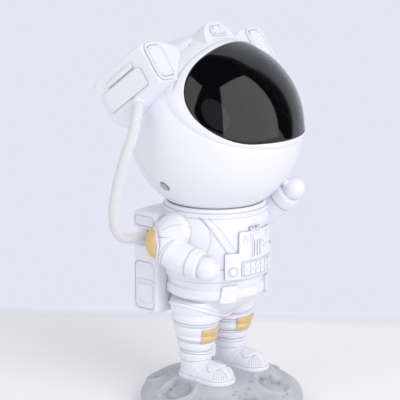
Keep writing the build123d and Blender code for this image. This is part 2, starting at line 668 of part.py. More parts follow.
# ---------------------------------------------------------------- helmet
def helmet_outline(grow):
    """Filled outline of the helmet: a ball whose crown swells, grown all round by a distance."""
    return Sphere(HEAD_RADIUS + grow) + Pos(0, CROWN_Y, CROWN_Z) * Sphere(CROWN_RADIUS + grow)


def make_helmet():
    inner = HEAD_RADIUS - HEAD_WALL
    reach = 2 * HEAD_RADIUS
    shell = helmet_outline(0.0) - helmet_outline(-HEAD_WALL)
    ahead = block(-reach, reach, -reach, HELMET_SEAM_Y, -reach, reach)
    bezel_bar = oval_bar(BEZEL_HALF_WIDTH + SEAT_GAP, BEZEL_HALF_HEIGHT + SEAT_GAP, BEZEL_CORNER, BEZEL_RISE,
                         -reach, 0)
    helmet = (shell & ahead) - bezel_bar
    cheek_axis = Vector(CHEEK_X, CHEEK_Y, CHEEK_Z).normalized()
    screws = []
    rebate = Sphere(inner - SEAT_GAP) - Sphere(inner - REBATE_THICK)
    rebate = rebate & block(-reach, reach, REBATE_FRONT_Y, HELMET_SEAM_Y + REBATE_THICK, -reach, reach)
    cap = shell & block(-reach, reach, HELMET_SEAM_Y, reach, -reach, reach)
    thick = Sphere(inner + SEAT_GAP) - Sphere(inner - REBATE_THICK)
    thick = thick & block(-reach, reach, HELMET_SEAM_Y, HELMET_SEAM_Y + REBATE_THICK, -reach, reach)
    cover = cap + thick + rebate
    seat = HEAD_RADIUS - CHEEK_RECESS_DEPTH
    for side in (-1, 1):
        axis = Vector(side * cheek_axis.X, cheek_axis.Y, cheek_axis.Z)
        place = Plane(origin=(0, 0, 0), z_dir=axis).location
        recess = place * post(CHEEK_RECESS_RADIUS, seat, HEAD_RADIUS + CHEEK_RECESS_RADIUS)
        bore = place * post(SCREW_RADIUS + SCREW_FIT, inner - 2 * REBATE_THICK, HEAD_RADIUS)
        helmet = helmet - recess - bore
        cover = cover - bore
        head = post(SCREW_HEAD_RADIUS, seat, seat + SCREW_HEAD_HEIGHT)
        shank = post(SCREW_RADIUS, inner - REBATE_THICK, seat)
        screws.append(in_head(place * (head + shank)))
    parts["helmet_shell"] = in_head(helmet)
    parts["helmet_rear_cover"] = in_head(cover)
    parts["helmet_screws"] = group(screws)

    ring = Sphere(HEAD_RADIUS + BEZEL_PROUD) - Sphere(inner)
    outer = oval_bar(BEZEL_HALF_WIDTH, BEZEL_HALF_HEIGHT, BEZEL_CORNER, BEZEL_RISE, -reach, 0)
    opening = oval_bar(OPENING_HALF_WIDTH, OPENING_HALF_HEIGHT, OPENING_CORNER, OPENING_RISE, -reach, 0)
    parts["visor_bezel"] = in_head((ring & outer) - opening)
    pane = Sphere(HEAD_RADIUS + VISOR_PROUD) - Sphere(HEAD_RADIUS + VISOR_PROUD - VISOR_THICK)
    fit = oval_bar(OPENING_HALF_WIDTH - SEAT_GAP, OPENING_HALF_HEIGHT - SEAT_GAP, OPENING_CORNER,
                   OPENING_RISE, -reach, 0)
    parts["visor"] = in_head(pane & fit)


def side_housing_outline(inset):
    """Filled outline of a side lamp housing: a long box with a drooping rear lobe, set in by a wall."""
    side_view = Polyline(
        (HOUSING_FRONT_Y + inset, HOUSING_TOP_Z - inset),
        (HOUSING_REAR_Y - inset, HOUSING_TOP_Z - inset),
        (HOUSING_REAR_Y - inset, HOUSING_LOBE_Z + HOUSING_ROUND),
        (HOUSING_REAR_Y - HOUSING_ROUND, HOUSING_LOBE_Z + inset),
        (HOUSING_LOBE_Y, HOUSING_LOBE_Z + inset),
        (HOUSING_FRONT_Y + inset, HOUSING_FRONT_LOW_Z + inset),
        close=True,
    )
    body = extrude(Plane.YZ * make_face(side_view), HOUSING_OUT_X)
    section = Polyline(
        (HOUSING_SLANT_IN_X - inset, HOUSING_SLANT_LOW_Z),
        (HOUSING_OUT_X - inset, HOUSING_EDGE_Z),
        (HOUSING_OUT_X - inset, HOUSING_TOP_Z - HOUSING_ROUND),
        (HOUSING_OUT_X - HOUSING_ROUND, HOUSING_TOP_Z - inset),
        (HOUSING_TOP_IN_X + inset / 2, HOUSING_TOP_Z - inset),
        (HOUSING_ROOT_X + inset, HOUSING_ROOT_Z - inset),
        (HOUSING_ROOT_X + inset, HOUSING_SLANT_LOW_Z),
        close=True,
    )
    bar = Pos(0, HOUSING_REAR_Y, 0) * extrude(Plane.XZ * make_face(section), HOUSING_REAR_Y - HOUSING_FRONT_Y)
    return body & bar


def helmet_room():
    """Room that the helmet and its bezel take from what is fixed on them."""
    bezel = oval_bar(BEZEL_HALF_WIDTH + SEAT_GAP, BEZEL_HALF_HEIGHT + SEAT_GAP, BEZEL_CORNER, BEZEL_RISE,
                     -2 * HEAD_RADIUS, 0)
    return helmet_outline(SEAT_GAP) + (bezel & Sphere(HEAD_RADIUS + BEZEL_PROUD + SEAT_GAP))


def side_housing(side):
    """Hollow side lamp housing, closed by the helmet that it is fixed on."""
    body = side_housing_outline(0.0) - side_housing_outline(HOUSING_WALL) - helmet_room()
    return body if side > 0 else mirror(body, about=Plane.YZ)


def top_housing():
    """Small top lamp housing, which dies into the swell of the helmet's crown."""
    corners = [(TOP_ROOT_HALF_WIDTH, TOP_ROOT_Z), (TOP_SHOULDER_HALF_WIDTH, TOP_SHOULDER_Z),
               (TOP_HALF_WIDTH, TOP_Z)]
    section = corners + [(-x, z) for x, z in reversed(corners)]
    outline = Plane.XZ * make_face(Polyline(*section, close=True))
    return Pos(0, TOP_REAR_Y, 0) * extrude(outline, TOP_REAR_Y - TOP_FRONT_Y) - helmet_room()


def rounded_corner(corner, width, height):
    """Corner radius that a rounded rectangle of this size has room for."""
    return min(corner, 0.45 * min(width, height))


def face_plate(x, z, width, height, front):
    """Rounded cover plate on the front of a housing."""
    outline = Plane.XZ * RectangleRounded(width, height, rounded_corner(FACE_PLATE_CORNER, width, height))
    return Pos(x, front, z) * extrude(outline, FACE_PLATE_THICK)


def pin(x, z, front):
    """Small dome-headed screw seen on a cover plate."""
    return rod_y(PIN_RADIUS, front - PIN_HEIGHT, front, x, z)


def make_housings():
    plates = []
    panels = []
    pins = []
    face = HOUSING_FRONT_Y - FACE_PLATE_THICK
    for side, name in ((-1, "right"), (1, "left")):
        housing = side_housing(side)
        if side < 0:
            housing = housing - upper_gland_bore()
        parts[name + "_lamp_housing"] = in_head(housing)
        plates.append(in_head(face_plate(side * FACE_PLATE_X, FACE_PLATE_Z, FACE_PLATE_WIDTH,
                                         FACE_PLATE_HEIGHT, HOUSING_FRONT_Y)))
        for dx in (-FACE_SCREW_DX, FACE_SCREW_DX):
            for dz in (-FACE_SCREW_DZ, FACE_SCREW_DZ):
                pins.append(in_head(pin(side * FACE_PLATE_X + dx, FACE_PLATE_Z + dz, face)))
        outer = sorted((side * HOUSING_OUT_X, side * (HOUSING_OUT_X + SIDE_PANEL_THICK)))
        panels.append(in_head(block(*outer, SIDE_PANEL_FRONT_Y, SIDE_PANEL_REAR_Y, SIDE_PANEL_LOW_Z,
                                    SIDE_PANEL_HIGH_Z)))
        panels.append(in_head(block(*outer, SIDE_BAR_FRONT_Y, SIDE_BAR_REAR_Y, SIDE_BAR_LOW_Z,
                                    SIDE_BAR_HIGH_Z)))
    parts["top_lamp_housing"] = in_head(top_housing())
    plates.append(in_head(face_plate(0, TOP_PLATE_Z, TOP_PLATE_WIDTH, TOP_PLATE_HEIGHT, TOP_FRONT_Y)))
    for dx in (-FACE_SCREW_DX, FACE_SCREW_DX):
        pins.append(in_head(pin(dx, TOP_PLATE_Z + TOP_SCREW_RISE, TOP_FRONT_Y - FACE_PLATE_THICK)))
    parts["face_plates"] = group(plates)
    parts["side_panels"] = group(panels)
    parts["plate_screws"] = group(pins)


# ---------------------------------------------------------------- inside the head
def gear_outline(teeth, phase):
    """Closed outline of an involute gear, worked out tooth by tooth."""
    pressure = math.radians(20)
    pitch = GEAR_MODULE * teeth / 2
    base = pitch * math.cos(pressure)
    tip = pitch + 0.9 * GEAR_MODULE
    root = pitch - 1.25 * GEAR_MODULE
    half_pitch = math.pi / (2 * teeth) - GEAR_BACKLASH / (4 * pitch)
    roll = math.tan(pressure) - pressure
    points = []
    for tooth in range(teeth):
        middle = 2 * math.pi * (tooth + phase) / teeth
        flank = []
        start = max(base, root)
        for step in range(5):
            radius = start + (tip - start) * step / 4
            angle = math.acos(min(1.0, base / radius))
            flank.append((radius, half_pitch + roll - (math.tan(angle) - angle)))
        flank.insert(0, (root, flank[0][1]))
        points += [(r * math.cos(middle - a), r * math.sin(middle - a)) for r, a in flank]
        points += [(r * math.cos(middle + a), r * math.sin(middle + a)) for r, a in reversed(flank)]
    return points


def gear(teeth, phase, front, thick):
    """Spur gear on an axis along Y, with its front face at the given place."""
    face = Plane.XZ * make_face(Polyline(*gear_outline(teeth, phase), close=True))
    return Pos(0, front + thick, 0) * extrude(face, thick)


def gear_centre():
    """Distance from the optical axis to the motor's axis."""
    return GEAR_MODULE * (PINION_TEETH + FILM_TEETH) / 2


def ring_gear(teeth, front, journal_front, journal_back):
    """Gear with a round window, a film seat and a journal tube that runs in a plate's bore."""
    body = gear(teeth, 0.0, front, GEAR_THICK) - rod_y(FILM_WINDOW_RADIUS, front, front + GEAR_THICK)
    journal = rod_y(JOURNAL_RADIUS, journal_front, journal_back)
    journal = journal - rod_y(JOURNAL_RADIUS - JOURNAL_WALL, journal_front, journal_back)
    return body + journal


def make_projector():
    inner = HEAD_RADIUS - HEAD_WALL
    mask_back = MASK_FRONT_Y + MASK_THICK
    mask_radius = math.sqrt(inner ** 2 - MASK_FRONT_Y ** 2) - MOVING_GAP
    chassis = rod_y(mask_radius, MASK_FRONT_Y, mask_back)
    chassis = chassis - rod_y(JOURNAL_RADIUS + RUN_FIT, MASK_FRONT_Y, mask_back)
    barrel = rod_y(BARREL_RADIUS, BARREL_FRONT_Y, MASK_FRONT_Y)
    lens_seat = LENS_BACK_Y - LENS_EDGE
    barrel = barrel - rod_y(BARREL_BORE, BARREL_FRONT_Y, lens_seat + LENS_EDGE)
    barrel = barrel - rod_y(JOURNAL_RADIUS + RUN_FIT, BARREL_FRONT_Y, MASK_FRONT_Y)
    rear_back = REAR_PLATE_Y + REAR_PLATE_THICK
    plate = block(-REAR_PLATE_HALF, REAR_PLATE_HALF, REAR_PLATE_Y, rear_back, -REAR_PLATE_HALF,
                  REAR_PLATE_HALF)
    plate = plate - rod_y(JOURNAL_RADIUS + RUN_FIT, REAR_PLATE_Y, rear_back)
    plate = plate - rod_y(PINION_HOLE_RADIUS, REAR_PLATE_Y, rear_back, gear_centre(), 0)
    chassis = chassis + barrel + plate
    for x in (-POST_PLACE, POST_PLACE):
        for z in (-POST_PLACE, POST_PLACE):
            chassis = chassis + rod_y(POST_RADIUS, mask_back, REAR_PLATE_Y, x, z)
    star_room = rod_y(STAR_BODY_RADIUS + SEAT_GAP, -HEAD_RADIUS, HEAD_RADIUS, STAR_X, STAR_Z)
    star_seat = STAR_FRONT_Y + STAR_LENS_THICK
    star_cup = rod_y(STAR_LENS_RADIUS + STAR_CUP_WALL, star_seat, MASK_FRONT_Y, STAR_X, STAR_Z)
    star_cup = star_cup - barrel_core()
    chassis = chassis + star_cup - star_room
    parts["projector_chassis"] = in_head(chassis)

    lens = lens_solid()
    parts["nebula_lens"] = in_head(lens)
    body = rod_y(STAR_BODY_RADIUS, star_seat, STAR_BODY_BACK_Y, STAR_X, STAR_Z)
    front_disc = rod_y(STAR_LENS_RADIUS, STAR_FRONT_Y, star_seat, STAR_X, STAR_Z)
    parts["star_laser_module"] = in_head(body)
    parts["star_lens"] = in_head(front_disc - barrel_core())

    film_back = FILM_Y + GEAR_THICK
    parts["film_gear"] = in_head(ring_gear(FILM_TEETH, FILM_Y, MASK_FRONT_Y + RUN_FIT, FILM_Y))
    parts["film_disc"] = in_head(rod_y(FILM_WINDOW_RADIUS - SEAT_GAP, FILM_Y + FILM_INSET, film_back))
    parts["ripple_gear"] = in_head(ripple_gear())
    centre = gear_centre()
    pinion = Pos(centre, 0, 0) * gear(PINION_TEETH, 0.5, FILM_Y, GEAR_THICK)
    pinion += Pos(centre, 0, 0) * gear(RIPPLE_PINION_TEETH, 0.5, RIPPLE_Y, GEAR_THICK)
    pinion += rod_y(SHAFT_RADIUS, FILM_Y, rear_back + SHAFT_IN_MOTOR, centre, 0)
    parts["motor_pinion"] = in_head(pinion)
    motor = rod_y(MOTOR_RADIUS, rear_back, rear_back + MOTOR_LENGTH, centre, 0)
    shaft_end = rear_back + SHAFT_IN_MOTOR + MOVING_GAP
    motor = motor - rod_y(SHAFT_RADIUS + RUN_FIT, rear_back, shaft_end, centre, 0)
    parts["gear_motor"] = in_head(motor)

    half = LED_BOARD_SIZE / 2
    board = block(-half, half, rear_back, rear_back + LED_BOARD_THICK, -half, half)
    parts["led_board"] = in_head(board + rod_y(LED_RADIUS, rear_back - LED_HEIGHT, rear_back))
    sink_front = rear_back + LED_BOARD_THICK
    sink = block(-half, half, sink_front, sink_front + SINK_BASE, -half, half)
    pitch = (LED_BOARD_SIZE - SINK_FIN_THICK) / (SINK_FINS - 1)
    for i in range(SINK_FINS):
        z = -half + i * pitch
        sink = sink + block(-half, half, sink_front, sink_front + SINK_HEIGHT, z, z + SINK_FIN_THICK)
    parts["led_heatsink"] = in_head(sink)

    keeper_outer = inner - REBATE_THICK - SEAT_GAP
    keeper = Sphere(keeper_outer) - Sphere(keeper_outer - KEEPER_THICK)
    reach = keeper_outer * math.sin(math.radians(KEEPER_HALF_ANGLE))
    keeper = keeper & post(reach, -HEAD_RADIUS, 0)
    parts["head_keeper"] = in_head(Rot(HEAD_TILT, 0, 0) * keeper)


def barrel_core():
    """Space of the nebula barrel, for the parts beside it."""
    return rod_y(BARREL_RADIUS + SEAT_GAP, BARREL_FRONT_Y, MASK_FRONT_Y)


def lens_solid():
    """Plano-convex lens in the barrel, its bulge towards the front."""
    ball = (LENS_RADIUS ** 2 + LENS_BULGE ** 2) / (2 * LENS_BULGE)
    front = LENS_BACK_Y - LENS_EDGE
    bulge = Pos(0, front - LENS_BULGE + ball, 0) * Sphere(ball)
    bulge = bulge & rod_y(LENS_RADIUS, front - LENS_BULGE, front)
    return bulge + rod_y(BARREL_BORE - SEAT_GAP, front, LENS_BACK_Y)


def ripple_gear():
    """Gear about the same axis as the film, with its journal to the rear and a rippled window in it."""
    back = REAR_PLATE_Y + REAR_PLATE_THICK
    window = rod_y(FILM_WINDOW_RADIUS, RIPPLE_Y, RIPPLE_Y + RIPPLE_GLASS_THICK)
    return ring_gear(RIPPLE_TEETH, RIPPLE_Y, RIPPLE_Y + GEAR_THICK, back - RUN_FIT) + window


# ---------------------------------------------------------------- backpack
def pack_block(grow):
    """Filled outline of the backpack, with its waist."""
    lower = block(-PACK_HALF_WIDTH - grow, PACK_HALF_WIDTH + grow, PACK_FRONT_Y - grow, PACK_REAR_Y + grow,
                  PACK_LOW_Z - grow, PACK_LOWER_TOP_Z + grow)
    upper = block(-PACK_HALF_WIDTH - grow, PACK_HALF_WIDTH + grow, PACK_FRONT_Y - grow, PACK_REAR_Y + grow,
                  PACK_UPPER_LOW_Z - grow, PACK_TOP_Z + grow)
    waist = block(-PACK_WAIST_HALF_WIDTH - grow, PACK_WAIST_HALF_WIDTH + grow, PACK_FRONT_Y - grow,
                  PACK_REAR_Y + grow, PACK_LOWER_TOP_Z, PACK_UPPER_LOW_Z)
    return lower + upper + waist


def rounded_pack():
    """Backpack outline with rounded corners along its upright edges."""
    lower = block(-PACK_HALF_WIDTH, PACK_HALF_WIDTH, PACK_FRONT_Y, PACK_REAR_Y, PACK_LOW_Z, PACK_LOWER_TOP_Z)
    upper = block(-PACK_HALF_WIDTH, PACK_HALF_WIDTH, PACK_FRONT_Y, PACK_REAR_Y, PACK_UPPER_LOW_Z, PACK_TOP_Z)
    waist = block(-PACK_WAIST_HALF_WIDTH, PACK_WAIST_HALF_WIDTH, PACK_FRONT_Y, PACK_REAR_Y, PACK_LOWER_TOP_Z,
                  PACK_UPPER_LOW_Z)
    lower = fillet(lower.edges().filter_by(Axis.Z) + lower.faces().sort_by(Axis.Z)[0].edges(), PACK_CORNER)
    upper = fillet(upper.edges().filter_by(Axis.Z) + upper.faces().sort_by(Axis.Z)[-1].edges(), PACK_CORNER)
    return lower + upper + waist


def side_recess(side, low, high):
    """Shallow rounded recess in a side of the backpack."""
    width = PANEL_REAR_Y - PANEL_FRONT_Y
    height = high - low
    outline = Plane.YZ * RectangleRounded(width, height, rounded_corner(PANEL_CORNER, width, height))
    middle = Pos(side * PACK_HALF_WIDTH, (PANEL_REAR_Y + PANEL_FRONT_Y) / 2, (low + high) / 2)
    return middle * extrude(outline, PANEL_INSET, both=True)


def pack_screw_places():
    """Screws of the rear cover, as (x, z)."""
    return [(x, z) for x in (-PACK_SCREW_X, PACK_SCREW_X) for z in (PACK_SCREW_LOW_Z, PACK_SCREW_HIGH_Z)]


def pack_cavity():
    """Space for the board, behind the wall that meets the torso's flat back."""
    half = PACK_HALF_WIDTH - PACK_WALL - PANEL_INSET
    front = TORSO_BACK_Y + PACK_BACK_WALL
    return block(-half, half, front, PACK_SPLIT_Y, PACK_LOW_Z + PACK_WALL, PACK_LOWER_TOP_Z - PACK_WALL)


def usb_place():
    """Centre of the socket's mouth on the underside of the backpack."""
    return (0.0, board_front() + BOARD_THICK + USB_DEPTH / 2, PACK_LOW_Z)


def board_front():
    """Front face of the control board."""
    return TORSO_BACK_Y + PACK_BACK_WALL


def make_backpack():
    reach = 2 * PACK_HALF_WIDTH
    solid = rounded_pack()
    for side in (-1, 1):
        solid = solid - side_recess(side, PANEL_LOW_Z, PANEL_HIGH_Z)
        solid = solid - side_recess(side, UPPER_PANEL_LOW_Z, UPPER_PANEL_HIGH_Z)
    pad_front = PANEL_FRONT_Y + PANEL_PAD_MARGIN
    pad_rear = PANEL_REAR_Y - PANEL_PAD_MARGIN
    for side in (-1, 1):
        x = side * (PACK_HALF_WIDTH - PANEL_INSET)
        for z, height, proud in ((PANEL_RIB_Z, PANEL_RIB_HEIGHT, PANEL_RIB_PROUD),
                                 (PANEL_PAD_Z, PANEL_PAD_HEIGHT, PANEL_PAD_PROUD)):
            solid = solid + block(x - proud, x + proud, pad_front, pad_rear, z - height / 2, z + height / 2)
    solid = solid - torso_envelope(SEAT_GAP)
    cavity = pack_cavity()
    usb_x, usb_y, usb_z = usb_place()
    usb_half = USB_WIDTH / 2 + USB_FIT
    usb_notch = block(usb_x - usb_half, usb_x + usb_half, usb_y - USB_DEPTH / 2 - USB_FIT, PACK_SPLIT_Y,
                      usb_z - PACK_WALL, usb_z + 2 * PACK_WALL)
    front = (solid & block(-reach, reach, 0, PACK_SPLIT_Y, 0, HEAD_Z)) - cavity
    cover = solid & block(-reach, reach, PACK_SPLIT_Y, reach, 0, HEAD_Z)
    screws = []
    for x, z in pack_screw_places():
        boss = rod_y(PACK_BOSS_RADIUS, board_front(), PACK_SPLIT_Y, x, z)
        front = front + boss
        front = front - rod_y(SCREW_RADIUS + SCREW_FIT, PACK_SPLIT_Y - PACK_SCREW_GRIP, PACK_SPLIT_Y, x, z)
        head_seat = PACK_REAR_Y - SCREW_HEAD_HEIGHT
        cover = cover - rod_y(SCREW_RADIUS + SCREW_FIT, PACK_SPLIT_Y, PACK_REAR_Y, x, z)
        cover = cover - rod_y(SCREW_HEAD_RADIUS + SCREW_FIT, head_seat, PACK_REAR_Y, x, z)
        shank = rod_y(SCREW_RADIUS, PACK_SPLIT_Y - PACK_SCREW_GRIP + STOP_GAP, head_seat, x, z)
        head = rod_y(SCREW_HEAD_RADIUS, head_seat, PACK_REAR_Y, x, z)
        screws.append(shank + head)
    front = front - usb_notch - lower_gland_bore()
    parts["backpack_front_shell"] = front
    board_back = board_front() + BOARD_THICK
    board = block(-BOARD_HALF_WIDTH, BOARD_HALF_WIDTH, board_front(), board_back, BOARD_LOW_Z, BOARD_HIGH_Z)
    parts["control_board"] = board
    switches = []
    names = ("nebula_button", "power_button", "star_button")
    for i, name in enumerate(names):
        x = (i - 1) * BUTTON_SPACING
        half = SWITCH_SIZE / 2
        switches.append(block(x - half, x + half, board_back, board_back + SWITCH_HEIGHT, BUTTON_Z - half,
                              BUTTON_Z + half))
        inner_end = board_back + SWITCH_HEIGHT + BUTTON_TRAVEL + STOP_GAP
        flange_back = PACK_SPLIT_Y - STOP_GAP
        button = rod_y(BUTTON_RADIUS, inner_end, PACK_REAR_Y + BUTTON_PROUD, x, BUTTON_Z)
        button = button + rod_y(BUTTON_FLANGE_RADIUS, flange_back - BUTTON_FLANGE_THICK, flange_back, x,
                                BUTTON_Z)
        parts[name] = button
        cover = cover - rod_y(BUTTON_RADIUS + BUTTON_FIT, PACK_SPLIT_Y, PACK_REAR_Y, x, BUTTON_Z)
    parts["tact_switches"] = group(switches)
    eye = rod_y(EYE_RADIUS, board_back, PACK_REAR_Y, 0, EYE_Z)
    eye = eye + Pos(0, PACK_REAR_Y, EYE_Z) * Sphere(EYE_RADIUS)
    eye = eye & block(-EYE_RADIUS, EYE_RADIUS, board_back, PACK_REAR_Y + EYE_PROUD, EYE_Z - EYE_RADIUS,
                      EYE_Z + EYE_RADIUS)
    parts["remote_eye"] = eye
    cover = cover - rod_y(EYE_RADIUS + SCREW_FIT, PACK_SPLIT_Y, PACK_REAR_Y, 0, EYE_Z)
    parts["backpack_rear_cover"] = cover
    parts["backpack_screws"] = group(screws)

    can = Pos(usb_x, usb_y, PACK_LOW_Z) * Box(USB_WIDTH, USB_DEPTH, USB_LENGTH,
                                              align=(Align.CENTER, Align.CENTER, Align.MIN))
    mouth = Pos(usb_x, usb_y, PACK_LOW_Z) * Box(USB_WIDTH - 2 * USB_WALL, USB_DEPTH - 2 * USB_WALL,
                                                USB_LENGTH - USB_WALL,
                                                align=(Align.CENTER, Align.CENTER, Align.MIN))
    tongue = Pos(usb_x, usb_y, PACK_LOW_Z + USB_TONGUE_INSET) * Box(
        USB_TONGUE_WIDTH, USB_TONGUE_THICK, USB_LENGTH - USB_TONGUE_INSET,
        align=(Align.CENTER, Align.CENTER, Align.MIN))
    parts["usb_socket"] = (can - mouth) + tongue


# ---------------------------------------------------------------- hose and its glands
def hose_direction(points, first):
    """Unit direction of the hose at one end."""
    a, b = (points[0], points[1]) if first else (points[-2], points[-1])
    return (Vector(*b) - Vector(*a)).normalized()


def hose_tube(points):
    """Tube along straight runs with tangent arcs as large as the runs allow."""
    corners = [Vector(*p) for p in points]
    radii = []
    for a, b, c in zip(corners, corners[1:], corners[2:]):
        turn = math.radians((b - a).get_angle(c - b))
        shorter = min((b - a).length, (c - b).length)
        radii.append(0.45 * shorter / math.tan(turn / 2))
    path = FilletPolyline(*points, radius=radii)
    section = Plane(origin=points[0], z_dir=corners[1] - corners[0]) * Circle(HOSE_RADIUS)
    solid = sweep(section, path=path)
    expected = math.pi * HOSE_RADIUS ** 2 * path.length
    print("hose radii", [round(r, 1) for r in radii], "length", round(path.length, 2))
    print("hose volume", round(solid.volume, 1), "expected", round(expected, 1))
    return solid


def bar_along(radius, start, direction, low, high):
    """Round bar on a line through start, between two places along the direction."""
    place = Plane(origin=Vector(*start) + direction * low, z_dir=direction).location
    return place * Cylinder(radius, high - low, align=(Align.CENTER, Align.CENTER, Align.MIN))


def lower_gland_bore():
    """Bore for the lower gland in the side wall of the backpack's waist."""
    along = hose_direction(HOSE_LOWER, True)
    return bar_along(GLAND_RADIUS + SEAT_GAP, HOSE_LOWER[0], along, -GLAND_PROUD - GLAND_GRIP, 0)


def upper_gland_bore():
    """Bore for the upper gland in the right lamp housing, in the level head's frame."""
    along = hose_direction(HOSE_UPPER, False)
    bore = bar_along(GLAND_RADIUS + SEAT_GAP, HOSE_UPPER[-1], along, 0, GLAND_PROUD + GLAND_GRIP)
    return head_place().inverse() * bore


def make_hose():
    along = hose_direction(HOSE_LOWER, True)
    parts["lower_hose_gland"] = bar_along(GLAND_RADIUS, HOSE_LOWER[0], along, -GLAND_PROUD - GLAND_GRIP, 0)
    along = hose_direction(HOSE_UPPER, False)
    upper = bar_along(GLAND_RADIUS, HOSE_UPPER[-1], along, 0, GLAND_PROUD + GLAND_GRIP)
    parts["upper_hose_gland"] = upper - in_head(Sphere(HEAD_RADIUS + SEAT_GAP))
    parts["hose_lower"] = hose_tube(HOSE_LOWER)
    parts["hose_upper"] = hose_tube(HOSE_UPPER)


def main():
    make_base()
    make_torso()
    make_chest_pack()
    make_arms()
    make_neck()
    make_helmet()
    make_housings()
    make_projector()
    make_backpack()
    make_hose()
    os.makedirs("parts", exist_ok=True)
    for name, shape in parts.items():
        export_step(shape, "parts/" + name + ".step")
    print(len(parts), "nodes")


main()
